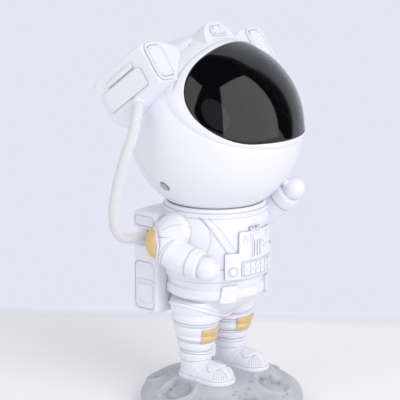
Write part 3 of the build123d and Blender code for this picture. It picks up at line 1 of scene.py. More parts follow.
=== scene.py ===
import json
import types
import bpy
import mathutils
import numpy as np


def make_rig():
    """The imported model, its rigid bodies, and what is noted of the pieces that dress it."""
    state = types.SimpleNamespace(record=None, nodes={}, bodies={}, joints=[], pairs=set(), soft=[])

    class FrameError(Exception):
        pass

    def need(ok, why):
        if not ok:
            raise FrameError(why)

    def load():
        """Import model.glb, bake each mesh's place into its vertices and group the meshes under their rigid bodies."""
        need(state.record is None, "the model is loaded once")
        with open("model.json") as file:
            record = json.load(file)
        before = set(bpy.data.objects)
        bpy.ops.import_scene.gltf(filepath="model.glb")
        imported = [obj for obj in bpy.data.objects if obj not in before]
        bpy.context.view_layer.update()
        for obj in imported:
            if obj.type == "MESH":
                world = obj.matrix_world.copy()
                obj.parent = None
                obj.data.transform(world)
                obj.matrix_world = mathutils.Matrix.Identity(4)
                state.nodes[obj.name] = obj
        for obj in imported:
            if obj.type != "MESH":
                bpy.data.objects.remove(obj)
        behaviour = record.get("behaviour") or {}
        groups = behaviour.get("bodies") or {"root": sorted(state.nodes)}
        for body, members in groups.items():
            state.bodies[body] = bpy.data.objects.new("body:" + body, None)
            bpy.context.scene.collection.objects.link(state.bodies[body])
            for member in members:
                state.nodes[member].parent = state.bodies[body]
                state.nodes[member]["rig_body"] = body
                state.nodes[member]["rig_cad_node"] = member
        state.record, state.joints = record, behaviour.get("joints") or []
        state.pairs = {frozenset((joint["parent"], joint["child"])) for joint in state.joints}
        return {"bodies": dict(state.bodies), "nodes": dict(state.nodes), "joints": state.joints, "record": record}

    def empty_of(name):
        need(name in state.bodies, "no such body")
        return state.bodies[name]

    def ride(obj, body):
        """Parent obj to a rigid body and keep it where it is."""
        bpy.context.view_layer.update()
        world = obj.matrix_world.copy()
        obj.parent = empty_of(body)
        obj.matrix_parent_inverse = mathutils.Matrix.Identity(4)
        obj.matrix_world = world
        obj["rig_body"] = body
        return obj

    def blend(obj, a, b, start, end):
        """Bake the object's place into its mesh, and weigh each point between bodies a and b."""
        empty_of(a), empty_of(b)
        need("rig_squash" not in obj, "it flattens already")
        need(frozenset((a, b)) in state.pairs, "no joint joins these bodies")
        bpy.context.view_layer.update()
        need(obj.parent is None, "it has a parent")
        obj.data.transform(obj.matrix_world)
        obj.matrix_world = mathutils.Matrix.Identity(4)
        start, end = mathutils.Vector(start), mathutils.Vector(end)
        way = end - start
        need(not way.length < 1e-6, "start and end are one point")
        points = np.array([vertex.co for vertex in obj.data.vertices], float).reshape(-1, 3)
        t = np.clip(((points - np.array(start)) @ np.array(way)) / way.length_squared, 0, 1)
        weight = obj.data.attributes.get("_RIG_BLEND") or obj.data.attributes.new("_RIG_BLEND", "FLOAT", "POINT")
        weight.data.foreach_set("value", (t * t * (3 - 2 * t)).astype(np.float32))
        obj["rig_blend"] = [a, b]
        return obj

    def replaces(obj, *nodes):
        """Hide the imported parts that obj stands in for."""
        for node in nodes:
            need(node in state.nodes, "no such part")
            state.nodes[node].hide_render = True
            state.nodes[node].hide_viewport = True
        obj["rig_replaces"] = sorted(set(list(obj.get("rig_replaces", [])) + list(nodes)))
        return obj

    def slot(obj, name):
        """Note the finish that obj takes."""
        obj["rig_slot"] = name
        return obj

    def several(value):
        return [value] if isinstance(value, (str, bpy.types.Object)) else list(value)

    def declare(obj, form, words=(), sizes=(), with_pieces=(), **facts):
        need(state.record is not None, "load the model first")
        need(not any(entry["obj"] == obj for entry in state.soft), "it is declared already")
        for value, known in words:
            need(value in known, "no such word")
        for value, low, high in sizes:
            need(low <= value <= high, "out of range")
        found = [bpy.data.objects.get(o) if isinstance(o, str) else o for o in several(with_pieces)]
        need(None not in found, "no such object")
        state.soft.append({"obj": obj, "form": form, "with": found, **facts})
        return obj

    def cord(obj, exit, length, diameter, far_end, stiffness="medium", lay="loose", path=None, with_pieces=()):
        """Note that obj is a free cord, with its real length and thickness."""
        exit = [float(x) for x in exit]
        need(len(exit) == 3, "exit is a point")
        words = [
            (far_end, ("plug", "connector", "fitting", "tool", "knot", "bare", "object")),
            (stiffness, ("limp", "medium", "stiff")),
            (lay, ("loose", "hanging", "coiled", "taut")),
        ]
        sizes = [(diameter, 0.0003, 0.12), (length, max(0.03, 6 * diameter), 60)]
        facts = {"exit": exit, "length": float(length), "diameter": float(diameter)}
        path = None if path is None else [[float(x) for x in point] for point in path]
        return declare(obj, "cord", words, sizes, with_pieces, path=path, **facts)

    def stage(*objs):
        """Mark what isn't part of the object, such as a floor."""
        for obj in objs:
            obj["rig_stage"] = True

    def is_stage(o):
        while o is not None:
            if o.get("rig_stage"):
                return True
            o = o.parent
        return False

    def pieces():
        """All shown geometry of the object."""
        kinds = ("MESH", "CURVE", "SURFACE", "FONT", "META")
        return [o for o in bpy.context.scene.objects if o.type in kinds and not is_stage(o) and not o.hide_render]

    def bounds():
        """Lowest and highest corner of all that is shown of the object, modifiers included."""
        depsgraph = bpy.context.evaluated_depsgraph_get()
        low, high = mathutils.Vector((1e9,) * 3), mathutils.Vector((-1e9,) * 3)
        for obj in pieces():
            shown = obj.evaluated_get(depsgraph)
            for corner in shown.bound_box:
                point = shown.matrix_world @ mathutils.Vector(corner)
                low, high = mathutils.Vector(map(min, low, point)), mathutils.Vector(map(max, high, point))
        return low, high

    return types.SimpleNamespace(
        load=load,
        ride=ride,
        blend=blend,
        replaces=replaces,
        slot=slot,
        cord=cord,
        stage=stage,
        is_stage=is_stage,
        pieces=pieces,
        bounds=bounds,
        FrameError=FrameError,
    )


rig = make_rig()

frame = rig.load()
CAD_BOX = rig.bounds()

import json
import math

import bpy
import numpy as np
from mathutils import Matrix, Vector

bl_info = {
    "name": "Astronaut star lamp",
    "version": (1, 0, 0),
    "blender": (4, 5, 0),
    "location": "View3D > Sidebar > Star lamp",
    "description": "Dresses the packed star lamp with its moulded skins, finishes, hose and studio",
    "category": "Object",
}

MM = 0.001
SIDES = ((-1, "right"), (1, "left"))

# Sizes in millimetres, the same as the solids have. The figure faces -Y.
FIGURE_Y = 5.4
HEAD_Z = 163.0
HEAD_RADIUS = 49.0
HEAD_WALL = 2.2
HEAD_TILT = math.radians(36.0)
HEAD_YAW = math.radians(2.5)
CROWN_CENTRE = (0.0, 2.0, 11.0)
CROWN_RADIUS = 43.0
HELMET_SEAM_Y = 25.0
# Ovals of the face: half width, half height, corner radius, rise of the middle, taper with height.
OPENING = (43.9, 31.2, 29.0, 0.4, 0.0016)
BEZEL = (46.4, 38.2, 35.2, 4.8, 0.0)
BEZEL_PROUD = 1.2
VISOR_PROUD = 0.6
VISOR_THICK = 2.0
CHEEK = (40.1, 20.0, -20.5)
CHEEK_RADIUS = 3.2
CHEEK_DEPTH = 1.2
FACE_COLUMNS = 480
HOUSING_SINK = 1.2
HOUSING_FRONT_Y = -22.0
HOUSING_SIDE_X = 52.8
TOP_FRONT_Y = -32.2
LEG_X = 15.5
LEG_Y = 6.5
LEG_TOP = 67.0
LEG_SEAMS = [(31.4, 8.8), (36.5, 9.2), (42.3, 10.4), (46.3, 11.2), (52.3, 12.6), (59.0, 13.8),
             (LEG_TOP, 14.2)]
LEG_PUFF = 0.7
TORSO_OUTLINE = [(4.5, 50.6), (5.6, 52.6), (9.5, 55.4), (13.6, 58.0), (18.2, 61.2), (23.6, 65.7),
                 (26.8, 70.0), (27.4, 75.0), (28.6, 80.0), (29.4, 86.0), (29.8, 97.0), (29.8, 110.0),
                 (29.3, 117.5)]
TORSO_RADIUS = 29.8
TORSO_WALL = 2.2
TORSO_BACK_Y = 31.0
BELT_RADIUS = 28.6
HEM_Z = 79.6
WAIST_Z = 87.9
NECK_SEAM_Z = 116.4
ARMHOLE_Z = 105.5
ARMHOLE_RADIUS = 14.2
ELBOW_BALL = 10.6
BOOT_RADIUS = 8.75
WELT_Z = 22.9
BOOT_GROUND_Z = 20.7
BASE_WIDEST = (47.1, 5.5)
BASE_LIMIT = 47.6
CRATERS = [(9.0, -29.5, 10.5, 2.4), (-33.0, 5.0, 11.0, 2.0), (-22.0, 32.0, 6.0, 1.8), (30.0, 19.0, 7.0, 1.8),
           (-17.0, -34.0, 5.0, 1.2), (38.0, -8.0, 4.0, 1.2), (-42.0, 14.0, 3.6, 1.2)]
HOSE_LOWER = [(-29.0, 30.0, 102.0), (-41.0, 30.0, 102.0), (-51.6, 28.8, 104.2), (-59.6, 26.6, 110.8),
              (-63.8, 24.0, 121.0), (-65.2, 20.8, 132.4), (-64.8, 17.4, 143.4)]
HOSE_UPPER = [(-64.8, 17.4, 143.4), (-64.46, 14.51, 152.75), (-62.4, 11.0, 162.6), (-59.6, 10.6, 171.4),
              (-56.4, 12.2, 177.0), (-52.9, 14.8, 180.2)]
HOSE_RADIUS = 2.9
STITCH_LENGTH = 1.3
WALES = 14


# ------------------------------------------------------------------ shapes
def smooth(x, low, high):
    """Smoothstep: 0 at low, 1 at high, with level ends."""
    t = np.clip((x - low) / (high - low), 0.0, 1.0)
    return t * t * (3.0 - 2.0 * t)


def line_mark(distance, width):
    """Bell curve exp(-(d / w)^2): 1 on a line and nothing a few widths from it."""
    return np.exp(-(distance / width) ** 2)


def softmax(a, b, width):
    """The larger of two values, with the corner between them rounded over a width."""
    return 0.5 * (a + b + np.sqrt((a - b) ** 2 + width ** 2))


def angles(count, start=0.0):
    """Evenly spaced angles of one full turn, as a row."""
    return np.linspace(start, start + 2 * math.pi, count, endpoint=False)[None, :]


def column(*runs):
    """Evenly spaced values of several runs, each from a first to a last in a count of steps, as a column."""
    return np.concatenate([np.linspace(*run) for run in runs])[:, None]


def wrap(a):
    """Angle brought between minus and plus half a turn."""
    return (a + math.pi) % (2 * math.pi) - math.pi


def unit(vectors):
    """Vectors divided by their lengths."""
    return vectors / np.linalg.norm(vectors, axis=-1, keepdims=True)


def stack(x, y, z):
    """Arrays of coordinates joined into an array of points."""
    return np.stack(np.broadcast_arrays(x, y, z), axis=-1).astype(float)


def turned(z, a, radius, centre=(0.0, 0.0)):
    """Surface of revolution: (r sin a, -r cos a) about an upright axis, with a measured from the front."""
    return stack(centre[0] + radius * np.sin(a), centre[1] - radius * np.cos(a), z)


def between_rows(index):
    """Quads between neighbouring rows of a grid of vertex numbers, each row closed on itself."""
    ring = np.hstack([index, index[:, :1]])
    return np.stack([ring[:-1, :-1], ring[:-1, 1:], ring[1:, 1:], ring[1:, :-1]], -1).reshape(-1, 4)


NO_TRIS = np.zeros((0, 3), int)


def outward(verts, quads, tris, material, seam):
    """A skin's parts, with every face turned round where the volume inside them comes out negative."""
    corners = np.concatenate([quads[:, :3], quads[:, [0, 2, 3]], tris])
    a, b, c = (verts[corners[:, k]] for k in range(3))
    if np.sum(a * np.cross(b, c)) < 0:
        quads = quads[:, ::-1]
        tris = tris[:, ::-1]
    return {"verts": verts, "quads": quads, "tris": tris, "material": material, "seam": seam}


def skin(points, closed_rows=False, material=0, seam=0.0):
    """Closed skin over a grid of points. Columns run round a ring; the first and last rows close in fans.

    Rows of points that have no row of painted shade get none.
    """
    rows, cols = points.shape[:2]
    verts = points.reshape(-1, 3)
    shade = np.zeros((rows, cols))
    shade[:len(np.atleast_2d(seam))] = np.clip(seam, 0, 1)
    seam = shade.reshape(-1)
    index = np.arange(rows * cols).reshape(rows, cols)
    if closed_rows:
        return outward(verts, between_rows(np.vstack([index, index[:1]])), NO_TRIS, material, seam)
    verts = np.vstack([verts, points[0].mean(0), points[-1].mean(0)])
    pole = np.full(cols, rows * cols)
    first = np.stack([np.roll(index[0], -1), index[0], pole], -1)
    last = np.stack([index[-1], np.roll(index[-1], -1), pole + 1], -1)
    return outward(verts, between_rows(index), np.concatenate([first, last]), material,
                   np.concatenate([seam, [0.0, 0.0]]))


def strip_skin(points):
    """Closed skin over rings that run along a strip and back, with quads across both flat ends."""
    rows, cols = points.shape[:2]
    index = np.arange(rows * cols).reshape(rows, cols)
    quads = [between_rows(index)]
    for row, way in ((index[0], 1), (index[-1], -1)):
        a, b = row[:cols // 2], row[cols // 2:][::-1]
        quads.append(np.stack([a[:-1], b[:-1], b[1:], a[1:]], -1)[:, ::way])
    return outward(points.reshape(-1, 3), np.concatenate(quads), NO_TRIS, 0, np.zeros(rows * cols))


def put(name, skins, slot, replaces=(), body="stand", sharp=38.0, looks=None):
    """One object from several closed skins, riding on a body and finished as its slot or its looks."""
    starts = np.concatenate([[0], np.cumsum([len(s["verts"]) for s in skins])[:-1]]).astype(int)
    verts = np.concatenate([s["verts"] for s in skins]) * MM
    parts = ("quads", "tris")
    quads, tris = (np.concatenate([s[part] + o for s, o in zip(skins, starts)]) for part in parts)
    kinds = np.concatenate([np.resize(s["material"], len(s[part])) for part in parts for s in skins])
    index = np.concatenate([quads.reshape(-1), tris.reshape(-1)]).astype(np.int32)
    counts = np.concatenate([np.full(len(quads), 4), np.full(len(tris), 3)])
    begin = np.concatenate([[0], np.cumsum(counts)[:-1]]).astype(np.int32)
    mesh = bpy.data.meshes.new(name)
    mesh.vertices.add(len(verts))
    mesh.vertices.foreach_set("co", verts.reshape(-1))
    mesh.loops.add(len(index))
    mesh.loops.foreach_set("vertex_index", index)
    mesh.polygons.add(len(counts))
    mesh.polygons.foreach_set("loop_start", begin)
    mesh.polygons.foreach_set("material_index", kinds.astype(np.int32))
    mesh.polygons.foreach_set("use_smooth", np.ones(len(counts), bool))
    mesh.update(calc_edges=True)
    mesh.validate()
    # Per-vertex painted shade: seam lines, grooves, creases, plate feet and pits darkened where shade falls; the
    # finishes read it.
    shade = mesh.attributes.new("seam", "FLOAT", "POINT")
    shade.data.foreach_set("value", np.concatenate([s["seam"] for s in skins]).astype(np.float32))
    mesh.set_sharp_from_angle(angle=math.radians(sharp))
    for look in looks or (slot,):
        mesh.materials.append(finishes[look])
    made = bpy.data.objects.new(name, mesh)
    bpy.context.scene.collection.objects.link(made)
    if body is not None:
        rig.ride(made, body)
    if slot:
        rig.slot(made, slot)
    if replaces:
        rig.replaces(made, *replaces)
    return made


def rounded(corners, radius, steps=6):
    """Closed outline through corners, each cut by a parabola that starts a radius before it."""
    c = np.asarray(corners, float)
    sides = [np.roll(c, shift, 0) - c for shift in (1, -1)]
    lengths = [np.linalg.norm(side, axis=1, keepdims=True) for side in sides]
    reach = np.minimum(radius, 0.48 * np.minimum(*lengths))
    a, b = ((c + side / length * reach)[:, None] for side, length in zip(sides, lengths))
    t = np.linspace(0.0, 1.0, steps)[None, :, None]
    return ((1 - t) ** 2 * a + 2 * t * (1 - t) * c[:, None] + t ** 2 * b).reshape(-1, 2)


def box_outline(x0, x1, y0, y1, radius, steps=6):
    """Rounded rectangle between two corners."""
    return rounded([(x0, y0), (x1, y0), (x1, y1), (x0, y1)], radius, steps)


def disc_outline(x, y, radius, count=28):
    """Circle as a closed outline."""
    a = angles(count)[0]
    return np.stack([x + radius * np.cos(a), y + radius * np.sin(a)], -1)


def finer(outline, step, even):
    """The same closed outline with points added so that none is further than a step from the next.

    Where it is even, all points are equally far apart and the outline's own points go.
    """
    whole = np.vstack([outline, outline[:1]])
    along = np.concatenate([[0.0], np.cumsum(np.linalg.norm(np.diff(whole, axis=0), axis=1))])
    at = np.linspace(0, along[-1], max(len(outline), int(along[-1] / step)), endpoint=False)
    at = at if even else np.unique(np.concatenate([along[:-1], at]))
    at = at[np.concatenate([[True], np.diff(at) > 1e-4])]
    return np.stack([np.interp(at, along, whole[:, k]) for k in range(2)], -1)


def pad(outline, thick, place, edge=0.4, sink=0.5, crown=0.0, channel=None, material=0, fill=6, step=0.8,
        foot_shade=0.9):
    """Raised plate. Its outline runs up a side, round a quarter-circle edge, and in to the middle of its top.

    place(x, y, h) puts a point of the plate x along, y up and h out of the surface that carries it.
    channel is (inset, depth, width) of a groove that runs round the top, or None.
    """
    p = finer(outline, step, channel is not None)
    turn = np.roll(p, -1, 0) - np.roll(p, 1, 0)
    area = np.sum(p[:, 0] * np.roll(p[:, 1], -1) - np.roll(p[:, 0], -1) * p[:, 1])
    out = np.stack([turn[:, 1], -turn[:, 0]], -1) * np.sign(area)
    out = out / np.maximum(np.linalg.norm(out, axis=1, keepdims=True), 1e-9)
    edge = min(edge, thick)
    # Third entries of the levels are painted shade: full at the plate's foot, fading round its rounded edge, and in
    # the channel's groove.
    levels = [(0.0, -sink, foot_shade)]
    levels += [(edge * (1 - math.cos(a)), thick - edge + edge * math.sin(a), foot_shade * math.cos(a) ** 2)
               for a in np.linspace(0, math.pi / 2, 5)]
    if channel:
        inset, depth, width = channel
        levels += [(inset - width, thick, 0.0), (inset - 0.4 * width, thick - 0.8 * depth, 0.7),
                   (inset, thick - depth, 1.0), (inset + 0.4 * width, thick - 0.8 * depth, 0.7),
                   (inset + width, thick, 0.0), (inset + width + 0.25, thick, 0.0)]
    middle = p.mean(0)
    inner = p - out * levels[-1][0]
    rings = [(p - out * inset, height) for inset, height, _ in levels]
    shares = np.linspace(1.0, 0.08, fill)[1:]
    rings += [(middle + (inner - middle) * s, thick + crown * (1 - s * s)) for s in shares]
    points = np.array([place(ring[:, 0], ring[:, 1], np.full(len(p), height)) for ring, height in rings])
    shade = [level[2] for level in levels] + [0.0] * (fill - 1)
    return skin(points, material=material, seam=np.array(shade)[:, None])


def tube(line, radius, a):
    """Rings centre + radius * (cos a * side + sin a * up) along a line, side and up square to the line."""
    ahead = unit(np.gradient(line, axis=0))
    side = unit(np.cross(ahead, (0.11, 0.97, 0.2)))
    up = np.cross(ahead, side)
    a = a[..., None]
    return line[:, None] + radius[..., None] * (np.cos(a) * side[:, None] + np.sin(a) * up[:, None])


def arc_through(a, b, c, count):
    """Points of the circle from a through b to c, in a plane."""
    a, b, c = (np.asarray(p, float) for p in (a, b, c))
    centre = np.linalg.solve(2 * np.array([b - a, c - a]), [b @ b - a @ a, c @ c - a @ a])
    ends = np.unwrap([math.atan2(*(p - centre)[::-1]) for p in (a, b, c)])
    t = np.linspace(ends[0], ends[2], count)
    return centre + np.linalg.norm(a - centre) * np.stack([np.cos(t), np.sin(t)], -1)


def in_head(points):
    """Points drawn in the level head's frame, turned to the head's rest tilt and yaw."""
    x, y, z = points[..., 0], points[..., 1], points[..., 2]
    cos, sin = math.cos(HEAD_TILT), math.sin(HEAD_TILT)
    y, z = y * cos + z * sin, -y * sin + z * cos
    cos, sin = math.cos(HEAD_YAW), math.sin(HEAD_YAW)
    return stack(x * cos - y * sin, x * sin + y * cos + FIGURE_Y, z + HEAD_Z)


def leg_radius(z):
    """Radius of a padded leg at a height: bands that swell as parabolas between their seams."""
    heights, radii = np.array(LEG_SEAMS).T
    low = np.clip(np.searchsorted(heights, z, side="right") - 1, 0, len(heights) - 2)
    t = np.clip((z - heights[low]) / (heights[low + 1] - heights[low]), 0, 1)
    return radii[low] + (radii[low + 1] - radii[low]) * t + LEG_PUFF * 4 * t * (1 - t)


def torso_radius(z):
    """Radius of the torso at a height: its outline averaged over two millimetres."""
    radii, heights = np.array(TORSO_OUTLINE).T
    return np.mean([np.interp(z + s, heights, radii) for s in np.linspace(-1.2, 1.2, 7)], axis=0)


def oval(size, count):
    """Distance from the middle to an oval of four tangent arcs, at evenly spaced angles from +x."""
    half_width, half_height, corner, rise, taper = size
    side = half_width - corner
    top = (side ** 2 + half_height ** 2 - corner ** 2) / (2 * (half_height - corner))
    along = unit(np.array([side, top - half_height]))
    x, y = side + corner * along[0], corner * along[1]
    upper = arc_through((x, y), (0, half_height), (-x, y), 240)
    left = arc_through((-x, y), (-half_width, 0), (-x, -y), 240)
    outline = np.vstack([upper, left, -upper, -left])
    outline[:, 0] *= 1 + taper * outline[:, 1]
    outline[:, 1] += rise
    angle = np.arctan2(outline[:, 1], outline[:, 0])
    order = np.argsort(angle)
    reach = np.linalg.norm(outline, axis=1)
    return np.interp(angles(count), angle[order], reach[order], period=2 * math.pi)


def block_points(centre, planes, power, rows, cols):
    """Block with rounded edges, as a distance along rays from its centre.

    For a direction d the distance is (sum of max(0, n.d / h)^p)^(-1/p) over its planes, each with an outward
    normal n at a distance h from the centre. A larger power p gives sharper edges.
    """
    a, b = rows, angles(cols)
    d = stack(np.sin(a) * np.sin(b), np.cos(a), np.sin(a) * np.cos(b))
    total = 0
    for normal, point in planes:
        normal = unit(np.array(normal, float))
        height = (np.array(point, float) - centre) @ normal
        total = total + np.maximum(d @ normal / height, 0) ** power
    return centre + d * (total ** (-1.0 / power))[..., None]


def rect_mask(x, y, half_width, y0, y1, corner, soft):
    """1 inside a rounded rectangle and 0 outside, over a soft edge."""
    dx = np.abs(x) - half_width + corner
    dy = np.abs(y - (y0 + y1) / 2) - (y1 - y0) / 2 + corner
    outside = np.hypot(np.maximum(dx, 0), np.maximum(dy, 0)) + np.minimum(np.maximum(dx, dy), 0) - corner
    return 1 - smooth(outside, -soft, soft)


# ------------------------------------------------------------------ finishes
def arithmetic(operation, reflected=False):
    """An operator on values that adds one Math node."""
    def operator(self, other):
        terms = {0: other, 1: self} if reflected else {0: self, 1: other}
        return self.finish.node("ShaderNodeMath", {"operation": operation}, terms)
    return operator


class Value:
    """A number that varies over a surface. Arithmetic on it adds Math nodes."""

    def __init__(self, finish, socket):
        self.finish = finish
        self.socket = socket

    __add__ = arithmetic("ADD")
    __radd__ = arithmetic("ADD", True)
    __sub__ = arithmetic("SUBTRACT")
    __rsub__ = arithmetic("SUBTRACT", True)
    __mul__ = arithmetic("MULTIPLY")
    __rmul__ = arithmetic("MULTIPLY", True)


class Finish:
    """A material or world under construction: one node tree, read in Object coordinates."""

    def __init__(self, name, owner=None):
        self.owner = owner or bpy.data.materials.new(name)
        self.owner.use_nodes = True
        self.tree = self.owner.node_tree
        self.tree.nodes.clear()
        self.place = self.node("ShaderNodeTexCoord", output="Object")

    def node(self, kind, settings=None, inputs=None, output=0):
        """Any node: its settings first, then the values or links of its sockets. Gives one output."""
        made = self.tree.nodes.new(kind)
        for key, value in (settings or {}).items():
            if key == "stops":
                ramp = made.color_ramp
                while len(ramp.elements) < len(value):
                    ramp.elements.new(0.5)
                for element, (position, colour) in zip(ramp.elements, value):
                    element.position = position
                    element.color = (*colour, 1)
            else:
                setattr(made, key, value)
        for key, value in (inputs or {}).items():
            if isinstance(value, Value):
                self.tree.links.new(value.socket, made.inputs[key])
            else:
                made.inputs[key].default_value = value
        return Value(self, made.outputs[output]) if made.outputs else made

    def noise(self, scale, detail=2.0, rough=0.5, place=None):
        """Noise of a scale in waves per metre."""
        inputs = {"Vector": place or self.place, "Scale": scale, "Detail": detail, "Roughness": rough}
        return self.node("ShaderNodeTexNoise", {}, inputs)

    def mix(self, factor, a, b):
        """Colour between a and b."""
        a, b = (c if isinstance(c, Value) else (*c[:3], 1.0) for c in (a, b))
        return self.node("ShaderNodeMix", {"data_type": "RGBA"}, {0: factor, 6: a, 7: b}, 2)

    def seam(self):
        """The painted shade that a piece's mesh holds in its seam lines, grooves, creases and pits."""
        return self.node("ShaderNodeAttribute", {"attribute_name": "seam"}, {}, "Fac")

    def smoothstep(self, value, low, high):
        """0 below low and 1 above high, with a smooth rise between."""
        return self.node("ShaderNodeMapRange", {"interpolation_type": "SMOOTHSTEP"},
                         {0: value, 1: low, 2: high, 3: 0.0, 4: 1.0})

    def bump(self, height, depth):
        """Normal from a height field whose full range is a depth in metres."""
        return self.node("ShaderNodeBump", {}, {"Height": height, "Distance": depth, "Strength": 1.0})

    def done(self, **sockets):
        """Principled shader with these sockets, as the material's surface."""
        named = {key.replace("_", " ").title().replace("Ior", "IOR"): value for key, value in sockets.items()}
        shader = self.node("ShaderNodeBsdfPrincipled", {}, named)
        self.node("ShaderNodeOutputMaterial", {}, {"Surface": shader})
        return self.owner


def tinted(colour, *shares):
    """A colour with each channel taken by its own share."""
    return tuple(c * share for c, share in zip(colour, shares))


def darker(colour, share):
    """A colour taken down by a share, a little less in blue."""
    return tinted(colour, share, share, share * 0.97 + 0.03)


def moulded(name, colour, rough=0.42, grain=0.000012, spark=5200.0, mottle=0.02):
    """Moulded or painted plastic: faint mottling, a fine spark-eroded grain, and painted shade in its seams and
    creases.
    """
    f = Finish(name)
    seam = f.seam()
    base = f.mix(f.noise(55.0, 3.0), darker(colour, 1.0 - mottle), colour)
    # Painted shade: seams, grooves and creases mixed towards a darker colour.
    base = f.mix(seam * 0.85, base, darker(colour, 0.45))
    roughness = rough - 0.05 + 0.1 * f.noise(140.0, 2.0) + 0.12 * seam
    normal = f.bump(f.noise(spark, 2.0, 0.6), grain)
    return f.done(base_color=base, roughness=roughness, normal=normal, metallic=0.0, specular_ior_level=0.42)


def moon_stone(name, colour):
    """Grey cast base: broad patches, dark specks, a sandy grain, and painted shade in its craters and pits."""
    f = Finish(name)
    patch = f.noise(38.0, 5.0, 0.6)
    speck = f.noise(900.0, 3.0)
    tone = f.node("ShaderNodeValToRGB", {"stops": [(0.34, darker(colour, 0.86)), (0.62, colour)]},
                  {0: patch * 0.75 + speck * 0.25}, "Color")
    # Painted shade in craters, pits and grooves.
    base = f.mix(f.seam(), tone, darker(colour, 0.45))
    normal = f.bump(f.noise(2600.0, 3.0, 0.65) * 0.6 + patch * 0.4, 0.00009)
    return f.done(base_color=base, roughness=0.55 + 0.15 * speck, normal=normal, specular_ior_level=0.35)


def gold_paint(name, colour):
    """Satin gold paint: cloudy warmer patches, painted shade that turns it darker and browner towards the edges, and
    fine metallic flake.
    """
    f = Finish(name)
    cloud = f.noise(210.0, 3.0)
    base = f.mix(cloud * 0.7, colour, tinted(colour, 0.9, 0.8, 0.6))
    # Painted shade: darker, browner gold at the patches' raised edges and feet.
    base = f.mix(f.seam(), base, tinted(colour, 0.6, 0.45, 0.3))
    normal = f.bump(f.noise(9000.0, 1.0), 0.000012)
    return f.done(base_color=base, roughness=0.36 + 0.12 * cloud, metallic=0.12, normal=normal)


def smoked_glass(name, colour):
    """Smoked glossy visor: nearly black, a trace of it see-through."""
    f = Finish(name)
    return f.done(base_color=(*colour, 1.0), roughness=0.03 + 0.015 * f.noise(30.0, 2.0), alpha=0.7, ior=1.5,
                  specular_ior_level=0.55, coat_weight=0.25, coat_roughness=0.02)


def brushed_metal(name, colour, rough=0.34):
    """Bare metal with drawn lines along one direction."""
    f = Finish(name)
    stretched = f.node("ShaderNodeMapping", {}, {"Vector": f.place, "Scale": (1.0, 0.06, 1.0)})
    drawn = f.noise(1800.0, 3.0, place=stretched)
    base = f.mix(drawn, darker(colour, 0.8), colour)
    return f.done(base_color=base, roughness=rough - 0.08 + 0.2 * drawn, metallic=1.0,
                  normal=f.bump(drawn, 0.000006))


def clear_plastic(name, colour, alpha, rough=0.06, ripple=0.0, glow=0.0):
    """Clear or coloured moulding, partly see-through, with a faint or strong ripple; a glow, where given, is painted
    light in the moulding's own colour.
    """
    f = Finish(name)
    wave = f.noise(420.0, 2.0)
    base = f.mix(wave, darker(colour, 0.9), colour)
    return f.done(base_color=base, roughness=rough + 0.04 * wave, alpha=alpha, emission_strength=glow,
                  normal=f.bump(wave, 0.00001 + ripple), emission_color=(*colour, 1.0))


def film_print(name, colour, rose):
    """Printed colour film: soft clouds between two colours."""
    f = Finish(name)
    cloud = f.noise(190.0, 5.0, 0.6)
    base = f.node("ShaderNodeValToRGB", {"stops": [(0.3, (0.01, 0.01, 0.03)), (0.5, colour), (0.66, rose)]},
                  {0: cloud}, "Color")
    return f.done(base_color=base, roughness=0.2 + 0.1 * cloud)


def knitted(name, colour):
    """Knitted sleeve: soft fibre, with painted shade between its stitches."""
    f = Finish(name)
    fibre = f.noise(4200.0, 4.0, 0.7)
    # Painted shade between the stitches, down to 40 percent of the colour.
    base = f.mix(f.seam(), f.mix(fibre, darker(colour, 0.93), colour), darker(colour, 0.4))
    return f.done(base_color=base, roughness=0.78 + 0.15 * fibre, normal=f.bump(fibre, 0.00006),
                  sheen_weight=0.25, specular_ior_level=0.25)


def circuit(name, colour):
    """Solder-masked board: faint tracks under the mask."""
    f = Finish(name)
    tracks = f.node("ShaderNodeTexBrick", {"offset": 0.5},
                    {"Vector": f.place, "Scale": 260.0, "Mortar Size": 0.03}, "Fac")
    base = f.mix(tracks, colour, tinted(colour, 1.6, 1.5, 1.4))
    return f.done(base_color=base, roughness=0.32 + 0.1 * f.noise(900.0), normal=f.bump(tracks, 0.00002))


finishes = {}


